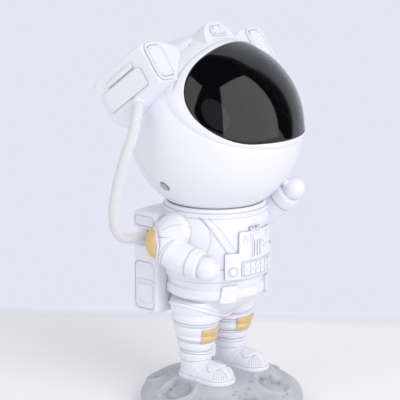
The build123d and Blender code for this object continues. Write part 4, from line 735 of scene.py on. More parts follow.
def make_finishes(colours):
    """Every finish of the lamp, by its slot: its maker, its colour and the maker's other settings."""
    shell = tuple(colours.shell)
    for name, maker, colour, more in (
            ("shell_white", moulded, shell, {}),
            ("pack_white", moulded, darker(shell, 0.97), {"rough": 0.46, "grain": 0.00002, "spark": 4200.0}),
            ("plate_white", moulded, shell, {"rough": 0.38, "mottle": 0.015}),
            ("base_grey", moon_stone, colours.base, {}),
            ("gold", gold_paint, colours.gold, {}),
            ("visor_smoke", smoked_glass, colours.visor, {}),
            ("dark_plastic", moulded, (0.012, 0.012, 0.014), {"rough": 0.3, "mottle": 0.3}),
            # Near-black for the helmet's inner wall: painted shade for the dark inside of the head behind the visor.
            ("inner_dark", moulded, (0.006, 0.006, 0.008), {"rough": 0.6, "mottle": 0.3}),
            ("pad_rubber", moulded, (0.06, 0.06, 0.065), {"rough": 0.8, "grain": 0.00006, "spark": 2400.0}),
            ("steel", brushed_metal, (0.55, 0.55, 0.57), {}),
            ("weight_iron", brushed_metal, (0.18, 0.18, 0.19), {"rough": 0.6}),
            ("magnet", brushed_metal, (0.62, 0.6, 0.56), {"rough": 0.25}),
            ("lens_clear", clear_plastic, (0.5, 0.53, 0.6), {"alpha": 0.45, "rough": 0.03}),
            # The star lens glows faintly: painted light, so that it shows through the smoked visor.
            ("star_glass", clear_plastic, colours.star_glass, {"alpha": 1.0, "rough": 0.18, "glow": 0.12}),
            ("laser_brass", brushed_metal, (0.68, 0.47, 0.2), {"rough": 0.3}),
            ("gear_nylon", moulded, (0.78, 0.77, 0.72), {"rough": 0.5, "mottle": 0.05}),
            ("film_colour", film_print, (0.02, 0.12, 0.6), {"rose": (0.55, 0.05, 0.4)}),
            ("ripple_clear", clear_plastic, (0.7, 0.75, 0.8), {"alpha": 0.5, "ripple": 0.0002}),
            ("board_green", circuit, (0.02, 0.12, 0.05), {}),
            ("sink_aluminium", brushed_metal, (0.72, 0.72, 0.73), {}),
            ("button_grey", moulded, (0.42, 0.43, 0.46), {"rough": 0.5, "mottle": 0.05}),
            ("eye_dark", clear_plastic, (0.02, 0.005, 0.01), {"alpha": 0.92}),
            ("sleeve", knitted, colours.sleeve, {})):
        finishes[name] = maker(name, tuple(colour), **more)


CAD_FINISHES = {
    "dark_plastic": ("base_bottom_plate", "projector_chassis", "tact_switches"),
    "steel": ("base_screws", "boot_screws", "helmet_screws", "head_keeper", "gear_motor", "backpack_screws",
              "usb_socket"),
    "pad_rubber": ("base_pad",), "weight_iron": ("base_weight",), "magnet": ("neck_magnet",),
    "shell_white": ("neck_deck", "swivel_cup"), "lens_clear": ("nebula_lens",), "star_glass": ("star_lens",),
    "laser_brass": ("star_laser_module",), "gear_nylon": ("film_gear", "motor_pinion"),
    "film_colour": ("film_disc",), "ripple_clear": ("ripple_gear",), "sink_aluminium": ("led_heatsink",),
    "board_green": ("led_board", "control_board"), "eye_dark": ("remote_eye",),
    "button_grey": ("power_button", "star_button", "nebula_button"),
    "pack_white": ("backpack_front_shell", "backpack_rear_cover"),
    "plate_white": ("lower_hose_gland", "upper_hose_gland"),
}


# ------------------------------------------------------------------ properties
def length(name, description, default, low=0.0):
    return bpy.props.FloatProperty(name=name, description=description, default=default, min=low,
                                   unit="LENGTH", precision=5)


def tint(name, description, default):
    return bpy.props.FloatVectorProperty(name=name, description=description, default=default, min=0.0,
                                         max=1.0, size=3, subtype="COLOR")


class StarLampSizes(bpy.types.PropertyGroup):
    """Sizes of the moulded detail"""
    seam_depth: length("Seam depth", "Depth of the moulded seam lines", 0.00048)
    seam_width: length("Seam width", "Half width of the moulded seam lines", 0.00028, 0.00005)
    strap_proud: length("Strap height", "How far straps stand out of the suit", 0.0005)
    patch_proud: length("Patch height", "How far the knee and elbow patches stand out", 0.0009)
    rib_depth: length("Toe rib depth", "Depth of the grooves in the toe caps", 0.0004)
    pit_depth: length("Pit depth", "Depth of the small pits of the moon base", 0.0007)
    rim_height: length("Crater rim height", "Height of the craters' raised rims", 0.0013)
    knit_depth: length("Stitch depth", "Depth of the knitted sleeve's stitches", 0.0003)
    pit_count: bpy.props.IntProperty(name="Pits", description="Number of small pits in the moon base",
                                     default=120, min=0, max=400)


class StarLampColours(bpy.types.PropertyGroup):
    """Colours of the lamp's finishes"""
    shell: tint("Shell", "White plastic of suit and helmet", (0.87, 0.87, 0.95))
    base: tint("Moon base", "Grey of the moon base", (0.56, 0.565, 0.62))
    gold: tint("Patches", "Gold paint of the knee and elbow patches", (0.80, 0.60, 0.31))
    visor: tint("Visor", "Body colour of the smoked visor", (0.004, 0.004, 0.005))
    star_glass: tint("Star lens", "Grey of the star lens behind the visor", (0.78, 0.76, 0.82))
    sleeve: tint("Hose sleeve", "White yarn of the hose", (0.92, 0.92, 0.97))
    floor: tint("Floor", "Floor near the lamp", (1.0, 1.0, 1.0))
    backdrop: tint("Backdrop", "Floor and world behind the lamp", (0.775, 0.8, 0.9))


def millimetres(name):
    """One of the lengths in the panel, in millimetres."""
    return getattr(bpy.context.scene.star_lamp_sizes, name) / MM


def dents(distance):
    """Depth of a moulded seam line at a distance from it, in millimetres."""
    return millimetres("seam_depth") * line_mark(distance, millimetres("seam_width"))


# ------------------------------------------------------------------ pieces
class STARLAMP_OT_base(bpy.types.Operator):
    """Moon base: a dome with craters, pits and a sandy swell"""
    bl_idname = "starlamp.base"
    bl_label = "Moon base"

    def execute(self, context):
        corner = (38.0, 15.2)
        outer = np.vstack([arc_through((0.0, 20.0), (19.0, 18.8), corner, 118)[1:],
                           arc_through(corner, (44.9, 11.4), BASE_WIDEST, 40)[1:],
                           np.linspace(BASE_WIDEST, (45.5, 0.8), 8)[1:]])
        profile = np.vstack([outer, [(44.1, 0.8), (44.05, 3.6), (45.2, 5.5), (42.6, 10.6), (36.0, 13.6),
                                     (18.0, 16.9), (1, 17.4)]])
        along = np.gradient(profile, axis=0)
        normal = unit(np.stack([-along[:, 1], along[:, 0]], -1))
        a = angles(440)
        points = turned(profile[:, 1:], a, profile[:, :1])
        x, y, z = (points[..., k].copy() for k in range(3))
        swell = 0.22 * np.sin(x / 7.3 + 1.3 * np.sin(y / 9.1)) * np.cos(y / 6.1 + 0.7)
        swell += 0.12 * np.sin(x / 3.1 + y / 4.7) * np.sin(y / 2.9 - x / 5.3)
        dark = np.zeros_like(x)
        sole_y = y - np.clip(y, LEG_Y - 16.5, LEG_Y)
        near = np.minimum(np.hypot(x - LEG_X, sole_y), np.hypot(x + LEG_X, sole_y))
        free = smooth(near, 10.0, 13.0)
        for cx, cy, rim, depth in CRATERS:
            cz = np.interp(math.hypot(cx, cy), outer[:110, 0], outer[:110, 1])
            d = np.sqrt((x - cx) ** 2 + (y - cy) ** 2 + (z - cz) ** 2)
            swell -= depth * (1 - smooth(d, 0.45 * rim, rim)) * free
            swell += millimetres("rim_height") * line_mark(d - rim, 0.13 * rim) * free
            swell += 0.5 * line_mark(d - 0.5 * rim, 0.8) - 0.3 * line_mark(d - 0.68 * rim, 0.7)
            # Painted shade in the crater bowls and in a ring inside the rim.
            dark += 0.2 * (1 - smooth(d, 0.6 * rim, 0.9 * rim)) * free
            dark += 0.3 * line_mark(d - 0.62 * rim, 0.14 * rim) * free
        pits = context.scene.star_lamp_sizes.pit_count
        rng = np.random.default_rng(11)
        turn = rng.uniform(0, 2 * math.pi, pits)
        reach = rng.uniform(20.0, BASE_LIMIT, pits)
        radius = rng.uniform(0.45, 1.0, pits)
        for t, s, w in zip(turn, reach, radius):
            cz = np.interp(s, outer[:150, 0], outer[:150, 1])
            gap = (x - s * math.sin(t)) ** 2 + (y + s * math.cos(t)) ** 2 + (z - cz) ** 2
            dip = np.exp(-gap / w ** 2) * free
            swell -= millimetres("pit_depth") * dip
            # Painted shade in the pits.
            dark += 0.75 * dip
        reach = np.hypot(x, y)
        swell += 1.8 * (1 - smooth(reach, 22.0, 37.0))
        swell += np.maximum(BOOT_GROUND_Z - z - swell, 0) * (1 - smooth(near, 10.0, 15.5)) * (z > 15.0)
        swell -= 1.5 * smooth(reach, 31.0, 39.0) * (1 - smooth(reach, 44.0, 47.5)) * (0.6 + 0.4 * x / 48)
        rows = np.arange(len(profile))[:, None]
        swell *= 1 - smooth(rows, len(outer) - 12, len(outer) - 5)
        dark = dark * (rows < len(outer))
        raised = np.where((z > BASE_WIDEST[1]) & (rows < len(outer)), np.minimum(swell, 4.0), 0.0)
        points += turned(normal[:, 1:], a, normal[:, :1]) * raised[..., None]
        reach = np.hypot(points[..., 0], points[..., 1])
        points[..., :2] *= np.minimum(1.0, BASE_LIMIT / np.maximum(reach, 1e-6))[..., None]
        put("moon_base", [skin(points, seam=dark)], "base_grey", ("moon_base_shell",), sharp=60.0)
        return {"FINISHED"}


def boot_skins(side):
    """One boot: an outline of offsets d from a middle line, with the upper as a half capsule over the sole.

    A ring is middle + d * (cos n, sin n) with n the direction of its normal. The upper has d = R cos e and
    height = z0 + R sin e for e from 0 to a right angle.
    """
    heel, toe = 0.25, -16.75
    front = np.radians(np.linspace(180, 360, 190, endpoint=False))
    back = np.radians(np.linspace(0, 180, 70, endpoint=False))
    run = np.linspace(0, 1, 60, endpoint=False)
    n = np.concatenate([back, np.full(60, math.pi), front, np.full(60, 2 * math.pi)])
    m = np.concatenate([np.full(70, heel), heel + (toe - heel) * run, np.full(190, toe),
                        toe + (heel - toe) * run])
    # Sole rows: offset, height, and painted shade in the crease under the welt.
    sole = np.array([(9.1, 17.3, 0), (9.6, 17.5, 0), (9.75, 18.0, 0), (9.75, 21.9, 0), (9.68, 22.3, 0),
                     (9.45, 22.6, 0), (9.1, 22.75, 0.3), (8.85, 22.7, 1.0), (8.72, 22.85, 0.5)])
    e = np.linspace(0, math.radians(86), 74)[1:]
    upper = np.stack([BOOT_RADIUS * np.cos(e), WELT_Z + 7.3 * np.sin(e), 0 * e], -1)
    d, z, dark = (column[:, None] for column in np.vstack([sole, upper]).T)
    rise = np.concatenate([np.zeros(len(sole)), e])[:, None]
    x = d * np.cos(n)
    y = m + d * np.sin(n)
    z = z * np.ones_like(x)
    dark = dark * np.ones_like(x)
    toe_angle = np.degrees(np.arctan2(y - toe, x * side))
    push = np.zeros_like(x)
    height = z - WELT_Z
    cap = y < toe + 4.0
    for centre in (-50.0, -130.0):
        off = np.degrees(np.abs(wrap(np.radians(toe_angle - centre))))
        arch = 1.6 + 4.6 * np.sqrt(np.clip(1 - (off / 36.0) ** 2, 0, 1))
        inside = (1 - smooth(height, arch - 0.35, arch + 0.1)) * (1 - smooth(off, 34.0, 36.5)) * cap
        ribs = np.abs(((toe_angle - centre) / 9.0 + 0.5) % 1.0 - 0.5) * 9.0 * math.pi / 180 * 8.7
        cut = line_mark(ribs, 0.26) * inside * smooth(height, 0.5, 1.2)
        border = line_mark(height - arch, 0.22) * (off < 35.5) * cap
        push += 0.3 * inside - millimetres("rib_depth") * cut - 0.2 * border
        # Painted shade in the toe ribs' grooves and along the caps' border.
        dark += 0.7 * cut + 0.5 * border
    tongue = np.hypot(x / 6.6, (y + 15.6) / 4.6)
    push += 0.28 * (1 - smooth(tongue, 0.93, 1.0)) - 0.22 * line_mark(tongue - 1.04, 0.035)
    # Painted shade round the tongue's outline.
    dark += 0.7 * line_mark(tongue - 1.04, 0.03)
    drop = 30.1 - z
    strap = np.abs(y + 8.6 - 0.35 * drop)
    push += millimetres("strap_proud") * (1 - smooth(strap, 1.7, 2.0))
    # Painted shade along the strap's edge.
    dark += 0.6 * line_mark(strap - 2.1, 0.2)
    counter = y - 2.2 - 0.55 * drop
    push += 0.25 * smooth(counter, 0.0, 0.3)
    # Painted shade along the heel counter's step.
    dark += 0.5 * line_mark(counter, 0.2)
    on_upper = (np.arange(len(d)) >= len(sole))[:, None]
    dark = np.clip(dark, 0, 1) * np.where(on_upper, smooth(rise, 0.02, 0.1), 1.0)
    out = stack(np.cos(rise) * np.cos(n), np.cos(rise) * np.sin(n), np.sin(rise))
    points = stack(x, y, z) + out * (push * on_upper)[..., None] + np.array([side * LEG_X, LEG_Y, 0.0])
    z = column((20.5, 30.4, 20), (30.6, 35.0, 30))
    a = angles(120, -math.pi)
    lean = 0.5 * np.cos(a)
    collar = smooth(z, 31.0 + lean, 31.4 + lean) * (1 - smooth(z, 34.0 + lean, 34.5 + lean))
    across = wrap(a * side - math.radians(76)) * 9.6
    radius = BOOT_RADIUS + 0.15 * smooth(z, 24.0, 30.0) + 0.55 * collar - 0.9 * smooth(z, 34.2, 35.0)
    radius = radius + 0.35 * rect_mask(across, z, 2.1, 31.2, 34.4, 0.5, 0.15)
    # Painted shade along the cuff's lower and upper edges, and beside its tab.
    shade = 0.8 * line_mark(z - 31.0 - lean, 0.22) + 0.6 * line_mark(z - 34.6 - lean, 0.2)
    shade = shade + 0.5 * line_mark(np.abs(across) - 2.25, 0.15) * collar
    return [skin(points, seam=dark), skin(turned(z, a, radius, (side * LEG_X, LEG_Y)), seam=shade)]


class STARLAMP_OT_boots(bpy.types.Operator):
    """Boots with soles, ribbed toe caps, tongues, straps and ankle cuffs"""
    bl_idname = "starlamp.boots"
    bl_label = "Boots"

    def execute(self, context):
        for side, name in SIDES:
            put(name + "_boot_skin", boot_skins(side), "shell_white", (name + "_boot",))
        return {"FINISHED"}


def thigh_radius(side, a, z):
    """Radius of a leg at an angle and height: the larger of its padding and the reach of the torso."""
    leg = leg_radius(z)
    back = LEG_Y - FIGURE_Y
    along = np.sin(a) * side * LEG_X - np.cos(a) * back
    rest = along ** 2 - LEG_X ** 2 - back ** 2 + torso_radius(z) ** 2
    proud = 0.4 - 1.3 * smooth(z, 63.5, LEG_TOP)
    reach = np.where(rest > 0, -along + np.sqrt(np.maximum(rest, 0)) + proud, 0.0)
    reach = np.minimum(reach, (LEG_X - 0.3) / np.maximum(-np.sin(a) * side, 1e-3)) * smooth(z, 51.5, 55.0)
    return leg + (softmax(leg, reach, 1.6) - softmax(leg, 0.0, 1.6)) * smooth(np.cos(a), -0.35, 0.2)


def leg_skin(side):
    """Padded leg: its radius with pairs of seam lines, each pair on a raised band."""
    z = column((31.4, LEG_TOP, 210))
    a = angles(150, -math.pi)
    radius = thigh_radius(side, a, z)
    dark = np.zeros_like(radius)
    lean = 0.6 * np.cos(a * side + math.radians(40))
    pairs = [(53.15, 0.85), (43.0, 0.6), (36.3, 0.75)]
    if side > 0:
        pairs = [(53.6, 0.6), (49.5, 0.7), (42.2, 0.7), (36.3, 0.75)]
    for middle, half in pairs:
        for line in (middle - half, middle + half):
            radius -= dents(z - line + lean)
            # Painted shade in each seam line.
            dark += 0.75 * line_mark(z - line + lean, millimetres("seam_width"))
        radius += 0.22 * (1 - smooth(np.abs(z - middle + lean), half - 0.2, half))
    return skin(turned(z, a, radius, (side * LEG_X, LEG_Y)), seam=dark)


def hip_strap(side):
    """Raised cord round the thigh: it lies on the larger of leg and torso all the way round.

    Its height is a plane's cut, low at the crotch and high at the outside.
    """
    a = angles(200, -math.pi).T
    b = angles(16)
    z = 59.9 + 5.9 * np.sin(a * side)
    radius = thigh_radius(side, a, z) + 0.8 * np.cos(b)
    points = turned(z + 1.25 * np.sin(b), a, radius, (side * LEG_X, LEG_Y))
    # Painted shade where the cord's upper and lower flanks meet the leg.
    return skin(points, closed_rows=True, seam=0.8 * smooth(np.abs(np.sin(b)), 0.75, 0.95) + 0 * a)


class STARLAMP_OT_legs(bpy.types.Operator):
    """Padded legs with double seams and hip straps"""
    bl_idname = "starlamp.legs"
    bl_label = "Legs"

    def execute(self, context):
        for side, name in SIDES:
            put(name + "_leg_skin", [leg_skin(side), hip_strap(side)], "shell_white", (name + "_leg",))
        return {"FINISHED"}


def on_leg(side):
    """Placer of plates on a leg: x millimetres round it from the front, y the height."""
    return lambda x, y, h: turned(y, x / 11.5, leg_radius(y) + h, (side * LEG_X, LEG_Y))


def on_round(radius):
    """Placer of plates on an upright cylinder about the figure's axis."""
    return lambda x, y, h: turned(y, x / radius, radius + h, (0.0, FIGURE_Y))


def on_elbow(side):
    """Placer of plates on a ball over the outside of an elbow: x upwards and y round it, towards the back."""
    middle = np.array([-34.2, 12.0, 101.8] if side < 0 else [35.6, 9.4, 103.0])

    def place(x, y, h):
        turn = math.radians(115.0) + y / 10.5
        rise = x / 10.5
        d = stack(side * np.sin(turn) * np.cos(rise), -np.cos(turn) * np.cos(rise), np.sin(rise))
        return middle + d * (ELBOW_BALL + h)[..., None]
    return place


class STARLAMP_OT_patches(bpy.types.Operator):
    """Knee and elbow patches in gold with a white edging"""
    bl_idname = "starlamp.patches"
    bl_label = "Patches"

    def execute(self, context):
        proud = millimetres("patch_proud")
        low = [(-6.5, 42.0), (6.3, 42.0), (6.3, 46.5), (-6.0, 46.5), (-6.9, 45.4), (-6.2, 44.2), (-7.0, 43.0)]
        high = [(-6.0, 46.3), (6.3, 46.3), (6.3, 50.7), (-6.4, 50.7), (-7.0, 49.7), (-6.2, 48.6),
                (-7.0, 47.5)]
        half = [(-8.6, -3.6), (-4.6, -6.6), (0.4, -7.7), (4.6, -6.5), (8.6, -3.8)]
        oval_patch = np.array(half + [(8.6, 3.8), (4.6, 6.5), (0.4, 7.7), (-4.6, 6.6), (-8.6, 3.6)])
        rim = oval_patch * np.array([1.08, 1.13])
        knees = []
        elbows = []
        for side, _ in SIDES:
            place = on_leg(side)
            under = box_outline(-6.9, 6.7, 41.7, 51.0, 1.0)
            knees.append(pad(under, proud - 0.25, place, edge=0.3, material=1))
            knees.append(pad(rounded(low, 0.5, 4), proud, place, edge=0.3, crown=0.08))
            knees.append(pad(rounded(high, 0.5, 4), proud + 0.15, place, edge=0.3, crown=0.08))
            place = on_elbow(side)
            elbows.append(pad(rounded(rim, 1.4, 5), proud - 0.15, place, edge=0.4, sink=0.8, material=1))
            elbows.append(pad(rounded(oval_patch, 1.3, 5), proud + 0.1, place, edge=0.35, crown=0.2))
        for joint, skins in (("knee", knees), ("elbow", elbows)):
            put(joint + "_patch_plates", skins, "gold", (joint + "_patches",), looks=("gold", "plate_white"))
        return {"FINISHED"}


class STARLAMP_OT_torso(bpy.types.Operator):
    """Torso with its shoulder straps, waist seams and hem"""
    bl_idname = "starlamp.torso"
    bl_label = "Torso"

    def execute(self, context):
        z = column((50.6, 66.0, 40), (66.3, 117.5, 205))
        a = angles(350, -math.pi)
        hem = z - HEM_Z - 1.0 * np.cos(a)
        radius = torso_radius(z) + 0.5 * smooth(hem, -0.2, 0.7) * (1 - smooth(z, 84.0, 92.0))
        radius -= dents(z - WAIST_Z) + dents(z - NECK_SEAM_Z)
        # Painted shade under the hem's step and in the waist and neck seams.
        dark = 0.5 * line_mark(hem + 0.2, 0.3) + 0.6 * line_mark(z - WAIST_Z, 0.28)
        dark += 0.5 * line_mark(z - NECK_SEAM_Z, 0.25)
        strap_angle = np.radians(np.interp(z, (92.0, 97.4, 111.0, 119.0), (26.0, 32.3, 49.7, 66.0)))
        for side, _ in SIDES:
            across = np.abs(a * side - strap_angle) * TORSO_RADIUS * 0.66
            on = smooth(z, 96.5, 97.2)
            radius += millimetres("strap_proud") * (1 - smooth(across, 1.2, 1.6)) * on
            # Painted shade along the straps' edges.
            dark += 0.55 * line_mark(across - 1.75, 0.36) * on
            round_arm = np.hypot((np.abs(wrap(a * side)) - math.radians(82)) * TORSO_RADIUS, z - ARMHOLE_Z)
            here = wrap(a * side) > 0
            radius -= dents(round_arm - ARMHOLE_RADIUS) * here
            # Painted shade in the armhole seam.
            dark += 0.5 * line_mark(round_arm - ARMHOLE_RADIUS, 0.4) * here
        flat = (TORSO_BACK_Y - FIGURE_Y) / np.maximum(-np.cos(a), 1e-3)
        behind = np.cos(a) < 0
        radius = np.where(z < 115.6, np.minimum(radius, np.where(behind, flat, 1e3)), radius)
        inner_z = column((117.4, 60.0, 16), (55.0, 53.0, 2))
        inner_r = np.maximum(torso_radius(inner_z - TORSO_WALL) - TORSO_WALL, 3.0)
        inner_r = np.minimum(inner_r, np.where(behind, flat - TORSO_WALL, 1e3))
        points = turned(np.concatenate([z, inner_z]), a, np.concatenate([radius, inner_r]), (0.0, FIGURE_Y))
        put("torso_skin", [skin(points, seam=dark)], "shell_white", ("torso_front_shell", "torso_rear_shell"))
        return {"FINISHED"}


class STARLAMP_OT_belt(bpy.types.Operator):
    """Belt and its two hanging tabs"""
    bl_idname = "starlamp.belt"
    bl_label = "Belt"

    def execute(self, context):
        place = on_round(BELT_RADIUS)
        end = 2.15 * BELT_RADIUS
        t = np.linspace(-end, end, 150)
        wave = 0.35 * np.cos(t / BELT_RADIUS * 2)
        both = np.concatenate([t, t[::-1]])
        across = np.repeat([1.0, -1.0], 150)
        edge = np.concatenate([69.8 + wave, (75.5 + wave)[::-1]])
        middle = 72.65 - 0.05 * across
        rows = [(middle, -2.2)]
        rows += [(edge + inset * across, h)
                 for inset, h in ((0.0, -2.2), (0.0, -0.7), (0.12, -0.25), (0.35, 0.0), (1.0, 0.05))]
        rows += [(middle, 0.06)]
        points = np.array([place(both, height, h) for height, h in rows])
        put("belt_band", [strip_skin(points)], "shell_white", ("belt",))
        skins = []
        for side, _ in SIDES:
            turn = side * math.radians(36.0) * BELT_RADIUS
            tab = [(x * -side + turn, y) for x, y in ((-5.0, 68.2), (4.9, 68.6), (6.6, 78.5), (-2.8, 78.2))]
            skins.append(pad(rounded(tab, 0.9, 5), 1.45, place, edge=0.5, sink=1.2, crown=0.15, foot_shade=0.45))
        put("belt_tab_plates", skins, "shell_white", ("belt_tabs",))
        return {"FINISHED"}


# Chest plates: left and right in degrees, bottom and top, thickness, corner, edge, depth below the surface.
CHEST_PLATES = [(-40.0, 40.0, 82.2, 97.3, 1.8, 0.6, 0.3, 1.5),
                (-25.0, 24.0, 96.4, 109.0, 1.79, 0.6, 0.3, 1.5),
                (-9.0, 1.5, 103.6, 107.2, 2.2, 0.4, 0.3, 0.0), (-9.0, -7.4, 94.0, 104.0, 2.15, 0.3, 0.3, 0.0),
                (-12.0, 2.5, 109.4, 110.1, 2.3, 0.2, 0.2, 0.6), (7.0, 10.0, 100.6, 102.0, 2.2, 0.3, 0.2, 0.0),
                (7.2, 10.0, 98.0, 99.2, 2.2, 0.3, 0.2, 0.0), (12.6, 17.8, 99.0, 100.0, 2.2, 0.3, 0.2, 0.0),
                (13.0, 22.0, 103.5, 107.0, 2.15, 0.4, 0.3, 0.0)]
CHEST_PLATES += [(a - 1.0, a + 1.0, 94.3, 103.0, 2.45, 0.5, 0.35, 0.0) for a in (-5.8, -1.7, 2.4)]
CHEST_PLATES += [(a - 1.1, a + 1.1, 108.2, 111.4, 2.1, 0.45, 0.35, 1.2) for a in (-11.0, -7.5, -2.0, 1.0)]
KEY_ANGLES = [math.degrees((-11.0 + 4.0 * column) / 32.2) for column in range(6)]
CHEST_PLATES += [(a, a + 5.1, z, z + 3.0, 2.75, 0.35, 0.22, 0.0) for a in KEY_ANGLES for z in (84.2, 88.2)]
CHEST_LINES = [((-18.0, 107.0), (-20.2, 103.1)), ((-20.2, 103.1), (-14.4, 102.9)),
               ((-14.4, 102.9), (-18.0, 107.0)), ((-11.6, 108.6), (-11.0, 93.0))]


class STARLAMP_OT_chest(bpy.types.Operator):
    """Chest pack: stepped plates, keypad, dial, ribs and plain marks"""
    bl_idname = "starlamp.chest"
    bl_label = "Chest pack"

    def execute(self, context):
        place = on_round(TORSO_RADIUS)
        degree = np.array([TORSO_RADIUS * math.pi / 180, 1.0])
        skins = []
        for a0, a1, z0, z1, thick, corner, edge, sink in CHEST_PLATES:
            outline = box_outline(a0 * degree[0], a1 * degree[0], z0, z1, corner, 4)
            skins.append(pad(outline, thick, place, edge=edge, sink=sink))
        keypad = box_outline(-22.5 * degree[0], 27.5 * degree[0], 83.3, 92.4, 0.9, 4)
        skins.append(pad(keypad, 2.35, place, edge=0.3, channel=(0.7, 0.3, 0.28), sink=0.0))
        dial = disc_outline(-31.0 * degree[0], 86.9, 2.9)
        skins.append(pad(dial, 2.5, place, edge=0.4, sink=0.0, channel=(0.75, 0.25, 0.25)))
        for line in CHEST_LINES:
            start, stop = np.array(line) * degree
            side = unit(np.array([start[1] - stop[1], stop[0] - start[0]])) * 0.17
            outline = [start - side, stop - side, stop + side, start + side]
            skins.append(pad(rounded(outline, 0.15, 3), 1.98, place, edge=0.15, sink=0.0, step=2.0))
        put("chest_pack_plates", skins, "shell_white", ("chest_pack",))
        return {"FINISHED"}


# Shoulder, elbow and hand of each arm.
ARMS = {
    -1: ((-27.5, 8.0, 108.5), (-34.5, 12.0, 98.5), (-30.5, -14.6, 90.3)),
    1: ((27.5, 8.0, 108.5), (36.0, 9.0, 101.5), (42.0, -18.0, 123.8)),
}


def arm_curve(side, t):
    """Middle line of an arm, a parabola through shoulder, elbow and wrist, and the direction along it."""
    shoulder, elbow, hand = (np.array(p) for p in ARMS[side])
    wrist = hand - 3.6 * unit(hand - elbow)
    bend = elbow + (elbow - (shoulder + wrist) / 2) * 0.72
    t = np.asarray(t, float)[..., None]
    centre = (1 - t) ** 2 * shoulder + 2 * t * (1 - t) * bend + t ** 2 * wrist
    return centre, unit(2 * (1 - t) * (bend - shoulder) + 2 * t * (wrist - bend)), wrist


def arm_points(side, t, angle, extra):
    """Surface of an arm: centre(t) + r(t) * (cos a * across + sin a * up), t from shoulder 0 to wrist 1."""
    centre, ahead, _ = arm_curve(side, t)
    across = unit(np.cross(ahead, (-0.3, 0.1, 1.0) if side < 0 else (1.0, 0.1, -0.1)))
    up = np.cross(ahead, across)
    radius = np.interp(t, (0.0, 0.2, 0.5, 0.8, 1.0), (10.3, 10.3, 9.7, 8.6, 7.6)) + extra
    return centre + radius[..., None] * (np.cos(angle)[..., None] * across + np.sin(angle)[..., None] * up)


def shoulder_shade(points, shoulder, side):
    """Shade of the shoulder's ring seam, a cone's cut, and of the fold where a surface nears the torso."""
    way = points - shoulder
    turn = np.arccos(np.clip(unit(way) @ unit(np.array([0.62 * side, -0.55, -0.56])), -1, 1))
    ring = line_mark((turn - math.radians(62)) * 10.4, 0.32) * (np.linalg.norm(way, axis=-1) < 12.5)
    off = np.hypot(points[..., 0], points[..., 1] - FIGURE_Y) - torso_radius(points[..., 2])
    return 0.55 * ring + 0.5 * (1 - smooth(off, 0.2, 2.4))


def ball(centre, radius, axis, swell=0.0):
    """Ball with its pole along an axis: (sin e cos a, sin e sin a, cos e), fuller by a swell times cos e."""
    axis = unit(np.array(axis, float))
    side = unit(np.cross(axis, (0.3, 0.5, 0.8)))
    e = column((0.06, math.pi - 0.06, 48))
    a = angles(72)
    local = stack(np.sin(e) * np.cos(a), np.sin(e) * np.sin(a), np.cos(e) * (1 + swell * np.cos(e)))
    return skin(centre + radius * local @ np.array([side, np.cross(axis, side), axis]))


def arm_skins(side):
    """Arm sleeve with ring seams and a cuff, a round hand, and a thumb on the raised hand."""
    shoulder, _, hand = (np.array(p) for p in ARMS[side])
    line, _, wrist = arm_curve(side, np.linspace(0, 1, 200))
    total = np.sum(np.linalg.norm(np.diff(line, axis=0), axis=1))
    t = column((-0.08, 0.1, 12), (0.11, 1.0, 210)) + 0 * angles(110)
    a = angles(110) + 0 * t
    along = t * total
    left = total - along
    lean = 0.5 * np.sin(a + 0.6)
    extra = 0.35 * np.abs(np.sin(math.pi * (along - 12.0) / (total - 22.0)))
    extra += 0.35 * (1 - smooth(left, 3.2, 3.6)) - 0.6 * (1 - smooth(left, 0.0, 0.6))
    # Painted shade at the cuff's edge.
    dark = 0.8 * line_mark(left - 3.75, 0.25)
    rings = [13.0] if side < 0 else [total - 24.2, total - 23.0]
    for at in rings + [total - 15.6, total - 14.2]:
        extra -= dents(along - at - lean)
        # Painted shade in each ring seam.
        dark += 0.75 * line_mark(along - at - lean, millimetres("seam_width"))
    rows = np.concatenate([arm_points(side, t, a, extra), arm_points(side, t[-1:], a[-1:], -1.0)])
    # The closing row at the wrist gets some painted shade.
    dark = np.concatenate([dark, np.full((1, 110), 0.3)])
    cap = ball(shoulder, 10.35, (0.0, 0.2, 1.0))
    cap["seam"] = np.clip(shoulder_shade(cap["verts"], shoulder, side), 0, 1)
    skins = [skin(rows, seam=dark + shoulder_shade(rows, shoulder, side)), cap,
             ball(hand, 6.6, hand - wrist, 0.06)]
    if side > 0:
        thumb = hand + np.array([-4.6, 2.4, 3.6])
        skins += [ball(thumb, 2.4, (0.1, -0.3, 0.9)), ball(0.6 * thumb + 0.4 * hand, 2.3, (0.1, -0.3, 0.9))]
    return skins


class STARLAMP_OT_arms(bpy.types.Operator):
    """Arms with ring seams, cuffs and mitten hands"""
    bl_idname = "starlamp.arms"
    bl_label = "Arms"

    def execute(self, context):
        for side, name in SIDES:
            put(name + "_arm_skin", arm_skins(side), "shell_white", (name + "_arm",))
        return {"FINISHED"}


class STARLAMP_OT_collar(bpy.types.Operator):
    """Neck collar: a rolled rim over a plain band"""
    bl_idname = "starlamp.collar"
    bl_label = "Neck collar"

    def execute(self, context):
        profile = rounded([(26.52, 117.5), (29.6, 117.3), (29.75, 119.3), (28.75, 119.5), (28.75, 121.5),
                           (27.3, 121.75), (26.86, 121.3), (26.52, 119.6)], 0.55)
        radius, z = profile[:, :1], profile[:, 1:]
        points = turned(z, angles(160), radius, (0.0, FIGURE_Y))
        # Painted shade on the ledge between the band and the rolled rim.
        step = (np.abs(z - 119.45) < 0.25) & (radius > 28.0)
        collar = skin(points, closed_rows=True, seam=0.7 * step)
        put("neck_collar_rim", [collar], "shell_white", ("neck_collar",))
        return {"FINISHED"}


